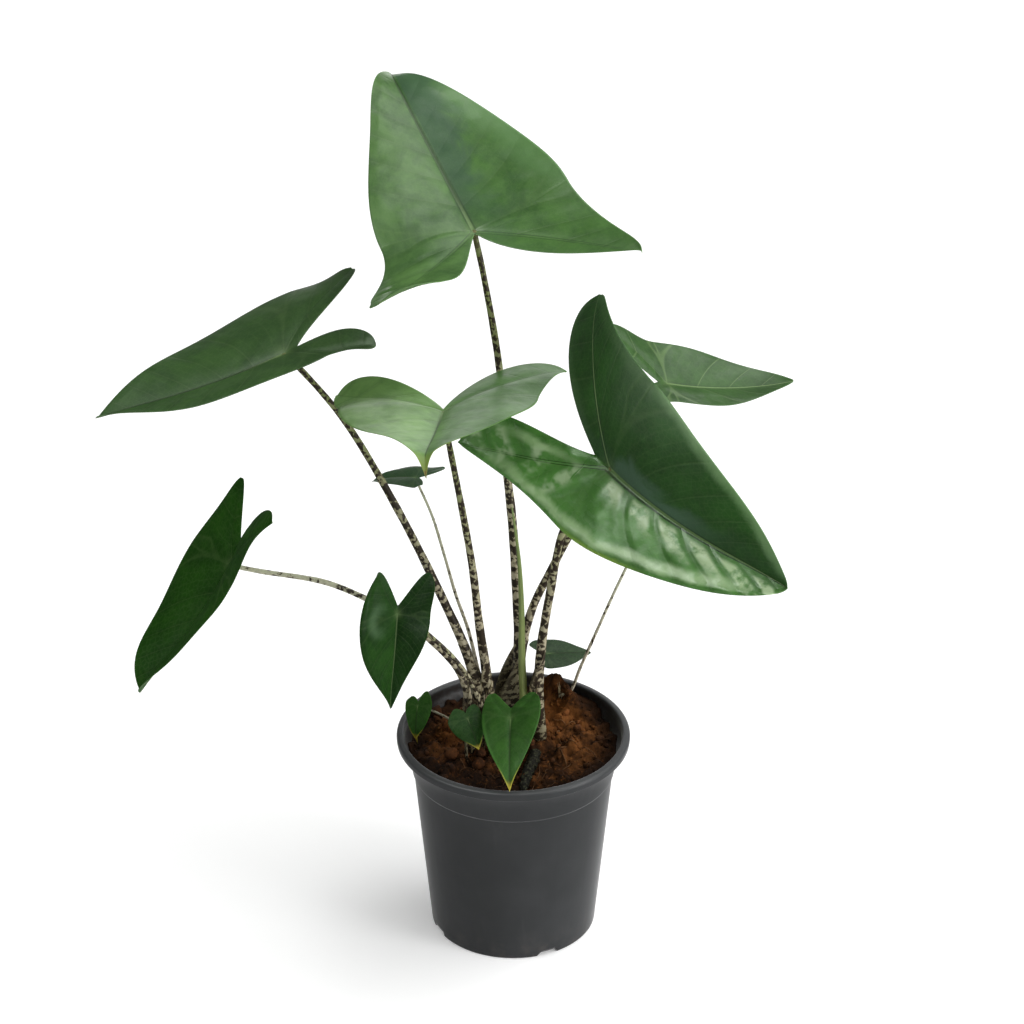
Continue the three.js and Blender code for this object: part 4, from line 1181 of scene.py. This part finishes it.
class HalfSheet:
    """One half of a blade as a sheet of points, with what the leaf's material needs at each of them."""

    def __init__(self, leaf, side, sign, seed):
        self.leaf, self.side, self.sign, self.size = leaf, side, sign, leaf["length"]
        lobe_cells, blade_cells, across = sheet_cells(leaf)
        sinus_cells = lobe_cells // 9
        self.joined_from = lobe_cells - sinus_cells
        knob = self.own("knob")
        margin, inner, lobe_tip = half_lines(leaf, side, lobe_cells, blade_cells, sinus_cells, knob)
        share = np.linspace(0, 1, across + 1) ** 1.08
        flat = inner[:, None] + (margin - inner)[:, None] * share[None, :, None]
        self.x, self.y = flat[..., 0], flat[..., 1]
        self.share = np.broadcast_to(share, self.x.shape)
        row = np.arange(lobe_cells + blade_cells + 1)[:, None]
        self.in_blade = (row >= lobe_cells) & np.ones_like(self.x, bool)
        self.t = np.clip((row - lobe_cells) / blade_cells, 0, 1) + np.zeros_like(self.x)
        down_lobe = np.clip((lobe_cells - row) / lobe_cells, 0, 1)
        span = np.linalg.norm(margin - inner, axis=1)[:, None]
        from_margin = (1 - self.share) * span
        self.edge = np.where(row >= self.joined_from, from_margin, np.minimum(from_margin, self.share * span))
        self.find_ribs(lobe_tip)
        self.find_laterals(down_lobe)
        self.lift = self.relief(seed)

    def find_ribs(self, lobe_tip):
        """The distance from the midrib or from the lobe's own rib, and that rib's half width."""
        lobe = self.side["lobe"]
        way = lobe_tip / np.linalg.norm(lobe_tip)
        along = (self.x * way[0] + self.y * way[1]) / lobe
        bow = LOBE_RIB_BOW * lobe * 4 * np.clip(along * (1 - along), 0, 1)
        self.rib = np.where(self.in_blade, self.x, self.y * way[0] - self.x * way[1] - bow)
        midrib = 0.25 + MIDRIB_WIDTH * self.own("midrib") * self.size * (1 - self.t) ** 0.8
        lobe_rib = 0.2 + LOBE_RIB_WIDTH * self.size * np.clip(1 - along, 0, 1) ** 0.8
        self.half_width = np.where(self.in_blade, midrib, lobe_rib)
        self.valley = np.where(self.in_blade, 1.6 * midrib, np.maximum(1.6 * lobe_rib, 2.2))
        self.down_rib = np.where(self.in_blade, self.t, np.clip(along, 0, 1))

    def find_laterals(self, down_lobe):
        """The phase is whole on a lateral vein. The pitch is the veins' distance along the rib."""
        lobe = self.side["lobe"]
        count = max(4, round(self.size / LATERAL_PITCH)) if self.size > LARGE_LEAF else 5
        lobe_count = max(3, round(lobe * count / self.size))
        sweep = LATERAL_SWEEP * self.t**0.8 * (1 - self.t) * self.share
        outside = np.where(self.rib > 0, 1.0, 0.6)
        from_rib = np.clip(np.abs(self.rib) / (0.45 * self.side["width"]), 0, 1)
        lobe_sweep = 0.7 * down_lobe**0.8 * (1 - down_lobe) * from_rib * outside
        self.phase = np.where(self.in_blade, count * (self.t - sweep), -lobe_count * (down_lobe - lobe_sweep))
        self.pitch = np.where(self.in_blade, self.size / count, lobe / lobe_count)

    def relief(self, seed):
        """Sunken ribs and furrows with pads between them, and a crest and waves near the margin."""
        size, width, own = self.size, self.side["width"], self.own
        x = self.x * self.sign + 300
        inside = np.clip(np.abs(self.rib) / (0.16 * width), 0, 1) * np.clip(self.edge / (0.1 * width), 0, 1)
        from_vein = np.abs(self.phase - np.round(self.phase)) * self.pitch
        furrow = hill(from_vein, FURROW_WIDTH * size)
        pads = 0.75 + 0.9 * noise_sheet(x, self.y, 0.1 * size, seed, 0)
        lift = own("quilt") * (1 - furrow) * pads * inside
        lift -= 0.0035 * (1 - self.down_rib) * hill(self.rib, self.valley)
        lift -= own("trough") * hill(self.rib, own("trough_width") * width) * (1 - 0.6 * self.t)
        lift += own("crest") * hill(self.share - 0.87, 0.12)
        lift += own("swell") * noise_sheet(x, self.y, 0.16 * size, seed + 3, 0) * inside
        lift += own("crinkle") * noise_sheet(x, self.y, 0.05 * size, seed, 40) * inside
        row_share = np.linspace(0, 1, len(self.x))[:, None]
        lift += WAVE * self.share**2 * np.sin(row_share * WAVE_TURNS * TURN + self.sign)
        tail, drip = self.leaf["look"].get("tip", (0, 0))
        at_tip = np.clip((self.t - 0.88) / 0.12, 0, 1) ** 2
        self.y = self.y + tail * at_tip
        return lift * size - drip * at_tip

    def own(self, key):
        """A value of the leaf's look, which may be a pair for the left and the right half."""
        value = self.leaf["look"].get(key, USUAL_RELIEF[key])
        return value[0 if self.sign < 0 else 1] if isinstance(value, tuple) else value

    def points(self):
        """Bent along the ribs, folded up from the midrib, curled and twisted, in the leaf's own axes."""
        side, leaf, size = self.side, self.leaf, self.size
        ahead = self.y >= 0
        forward = np.where(ahead, 1.0, -1.0)
        reach = np.where(ahead, size, side["lobe"])
        bend = np.where(ahead, rad(leaf["bend"]), side["rise"])
        tip = np.where(ahead, rad(leaf["tip"]), 0.0)
        along, up, angle = rib_at(forward * self.y / reach, bend, tip)
        tilt = side["fold"] + side["curl"] * self.x / side["width"] / 2
        lobe_rib = np.maximum(0, -self.y * math.tan(side["spread"]))
        depth = np.clip(-self.y / (side["lobe"] * math.cos(side["spread"])), 0, TWIST_REACH)
        turned = tilt + side["twist"] * depth**2
        across = lobe_rib * np.cos(tilt) + (self.x - lobe_rib) * np.cos(turned)
        lift = lobe_rib * np.sin(tilt) + (self.x - lobe_rib) * np.sin(turned) + self.lift
        return np.stack([
            self.sign * across,
            forward * (along * reach - np.sin(angle) * lift),
            up * reach + np.cos(angle) * lift,
        ], -1)

    def fields(self):
        size = self.size
        from_base = (self.x**2 + self.y**2) / size**2
        vein_width = 0.0045 * size + 0.15
        at_base, near_base = np.exp(-from_base / 0.045**2), np.exp(-from_base / 0.16**2)
        fields = {
            "place": (self.sign * self.x, self.y, self.edge),
            "ribs": (self.rib / self.half_width, self.phase, self.pitch / vein_width),
            "ends": (np.clip(self.y / size, 0, 1), at_base, near_base),
        }
        return {key: np.stack(values, -1) for key, values in fields.items()}

    def thickness(self):
        keel = self.leaf["girth"][1] * 0.75 * hill(self.rib, self.valley) * (1 - self.down_rib)
        return THINNEST + 0.3 * np.clip(self.edge / 3, 0, 1) + keel * np.clip(self.edge / 2, 0, 1)


def facing(points, faces):
    """The mean normal at each point."""
    normals = np.zeros_like(points)
    for face in faces:
        p = points[list(face)]
        normal = np.cross(p[1] - p[0], p[2] - p[0])
        if len(face) == 4:
            normal = normal + np.cross(p[2] - p[0], p[3] - p[0])
        for k in face:
            normals[k] += normal
    return normals / (np.linalg.norm(normals, axis=1)[:, None] + 1e-12)


def make_blade(leaf, top, under, seed):
    halves = [HalfSheet(leaf, leaf["left"], -1, seed), HalfSheet(leaf, leaf["right"], 1, seed)]
    rows, columns = halves[0].x.shape
    index = np.zeros((2, rows, columns), int)
    chosen = []
    for h in range(2):
        for i in range(rows):
            for j in range(columns):
                if h == 1 and j == 0 and i >= halves[0].joined_from:
                    index[h, i, j] = index[0, i, 0]
                elif j > 0 and i in (0, rows - 1):
                    index[h, i, j] = index[h, i, 0]
                else:
                    index[h, i, j] = len(chosen)
                    chosen.append(h * rows * columns + i * columns + j)

    def gather(grids):
        return np.concatenate([grid.reshape(rows * columns, -1) for grid in grids])[chosen]

    points = gather([half.points() for half in halves]) @ np.stack(leaf_axes(leaf)) + leaf["at"]
    thickness = gather([half.thickness() for half in halves])
    fields = [half.fields() for half in halves]
    quads = []
    for h in range(2):
        for i in range(rows - 1):
            for j in range(columns - 1):
                corners = [index[h, i, j], index[h, i, j + 1], index[h, i + 1, j + 1], index[h, i + 1, j]]
                if h == 0:
                    corners.reverse()
                clean = [q for k, q in enumerate(corners) if q != corners[k - 1]]
                if len(clean) >= 3:
                    quads.append(tuple(clean))
    lower = points - facing(points, quads) * thickness
    faces = both_sides(quads, len(points))
    which = [0] * len(quads) + [1] * len(quads) + [0] * (len(faces) - 2 * len(quads))
    both = {key: np.tile(gather([f[key] for f in fields]), (2, 1)) for key in fields[0]}
    name = leaf["name"]
    vertices = np.vstack([points, lower])
    add_piece(f"leaf_{name}", vertices, faces, "blade", [f"blade_{name}"], [top, under], which, both)


# The object

make_pot(pot_material())
bed = soil_material("soil_peat", (0.015, 0.0055, 0.0015), (0.165, 0.06, 0.015))
make_soil(bed)
make_crumbs(bed, "soil_crumbs", 800, 0.4, 2.0, 5)
clods = soil_material("soil_clods_peat", (0.035, 0.015, 0.007), (0.19, 0.068, 0.02))
make_crumbs(clods, "soil_clods", 90, 1.8, 5.0, 8)
make_fibres(soil_material("soil_fibre_peat", (0.06, 0.03, 0.014), (0.2, 0.1, 0.045)), 70, 11)

zebra = {
    "strong": zebra_material("zebra_strong", (0.38, 0.34, 0.23), (0.15, 0.2, 0.05), 0.525),
    "soft": zebra_material("zebra_soft", (0.5, 0.45, 0.34), (0.42, 0.43, 0.31), 0.4, 0.05),
    "fading": zebra_material("zebra_fading", (0.38, 0.34, 0.23), (0.5, 0.5, 0.36), 0.525, 0.13),
}
for number, leaf in enumerate(LEAVES):
    name = leaf["name"]
    top = LeafShader(f"leaf_{name}_top", leaf["look"], True).finished()
    under = LeafShader(f"leaf_{name}_under", leaf["look"], False).finished()
    make_blade(leaf, top, under, number + 1.5)
    skin = zebra[leaf["look"].get("stem", "strong" if leaf["girth"][0] > 3 else "soft")]
    stem = make_petiole(leaf, skin, number + 1)
    if name in SHEATHED:
        make_sheath(name, stem, SHEATHED[name], skin, number + 1)
make_rags(zebra_material("dry_sheath", (0.3, 0.22, 0.12), (0.2, 0.15, 0.07), 0.47))
make_spear(spear_material())
make_old_stem(old_stem_material())


# Floor, light and camera

FLOOR_SIZE = 6.0
MIDDLE = Vector((0.0, 0.0, 0.3))
SOFTBOX_DISTANCE = 2.2
CAMERA_PLACE = (-0.001, -2.6239, 1.7974)
CAMERA_TILT = 61
CAMERA_LENS = 148.5


def make_floor():
    mesh = bpy.data.meshes.new("floor")
    corners = [(x * FLOOR_SIZE, y * FLOOR_SIZE, 0) for x, y in ((-1, -1), (1, -1), (1, 1), (-1, 1))]
    mesh.from_pydata(corners, [], [(0, 1, 2, 3)])
    floor = bpy.data.objects.new("floor", mesh)
    bpy.context.scene.collection.objects.link(floor)
    s = Shader("floor_paper")
    s.colour = s.mix(s.noise(s.coordinate(), 0.8, 2), (0.86, 0.86, 0.86), (0.9, 0.9, 0.9))
    glow = {"Emission_Color": (1.0, 1.0, 1.0), "Emission_Strength": 0.27}
    mesh.materials.append(s.finish(0.9, Specular_IOR_Level=0.0, **glow))
    # The floor lights the plant, but the leaves don't mirror it.
    floor.visible_glossy = False
    floor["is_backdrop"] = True


def direction(azimuth, elevation):
    """The way to a light: azimuth 0 is behind the plant, 90 to its right."""
    a, e = rad(azimuth), rad(elevation)
    return Vector((math.sin(a) * math.cos(e), math.cos(a) * math.cos(e), math.sin(e)))


def add_lamp(name, kind, azimuth, elevation, distance, **settings):
    data = bpy.data.lights.new(name, kind)
    for key, value in settings.items():
        setattr(data, key, value)
    light = bpy.data.objects.new(name, data)
    way = direction(azimuth, elevation)
    light.location = MIDDLE + way * distance
    light.visible_camera = False
    light.rotation_euler = way.to_track_quat("Z", "Y").to_euler()
    bpy.context.scene.collection.objects.link(light)
    return light


def add_softbox(name, azimuth, elevation, width, height, brightness, diffuse=True, glossy=True):
    """A rectangle of even brightness, which may be left out of the diffuse or the glossy light."""
    box = add_lamp(
        name, "AREA", azimuth, elevation, SOFTBOX_DISTANCE,
        shape="RECTANGLE", size=width, size_y=height, energy=brightness * math.pi * width * height,
    )
    box.visible_diffuse = diffuse
    box.visible_glossy = glossy


make_floor()
add_lamp("key", "SUN", 100, 56, 1.5, energy=2.1, angle=rad(70))
add_softbox("left", -100, 24, 0.9, 1.1, 3.6, glossy=False)
add_softbox("front_left", -122, 48, 2.0, 1.2, 2.2, diffuse=False)
add_softbox("front_left_high", -128, 62, 0.9, 0.6, 10.0, diffuse=False)
add_softbox("front_left_low", -116, 37, 1.0, 0.7, 4.0, diffuse=False)
add_softbox("right", 118, 6, 0.8, 1.4, 9.0)
add_softbox("back_right", 42, 62, 1.6, 1.4, 2.2)
add_softbox("behind", 8, 9, 1.7, 0.6, 2.4, diffuse=False)

world = bpy.data.worlds.new("studio")
world.use_nodes = True
backdrop = next(n for n in world.node_tree.nodes if n.type == "BACKGROUND")
backdrop.inputs["Color"].default_value = (1, 1, 1, 1)
backdrop.inputs["Strength"].default_value = 0.16
bpy.context.scene.world = world
bpy.context.scene.view_settings.view_transform = "Standard"

camera_data = bpy.data.cameras.new("camera")
camera_data.lens = CAMERA_LENS
camera_data.sensor_width = 36
camera_data.clip_end = 30
camera = bpy.data.objects.new("camera", camera_data)
camera.location = CAMERA_PLACE
camera.rotation_euler = (rad(CAMERA_TILT), 0, 0)
bpy.context.scene.collection.objects.link(camera)
bpy.context.scene.camera = camera


def plain(bounds):
    return [[float(c) for c in corner] for corner in bounds]


{"cad": plain(cad_bounds), "visual": plain(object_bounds())}
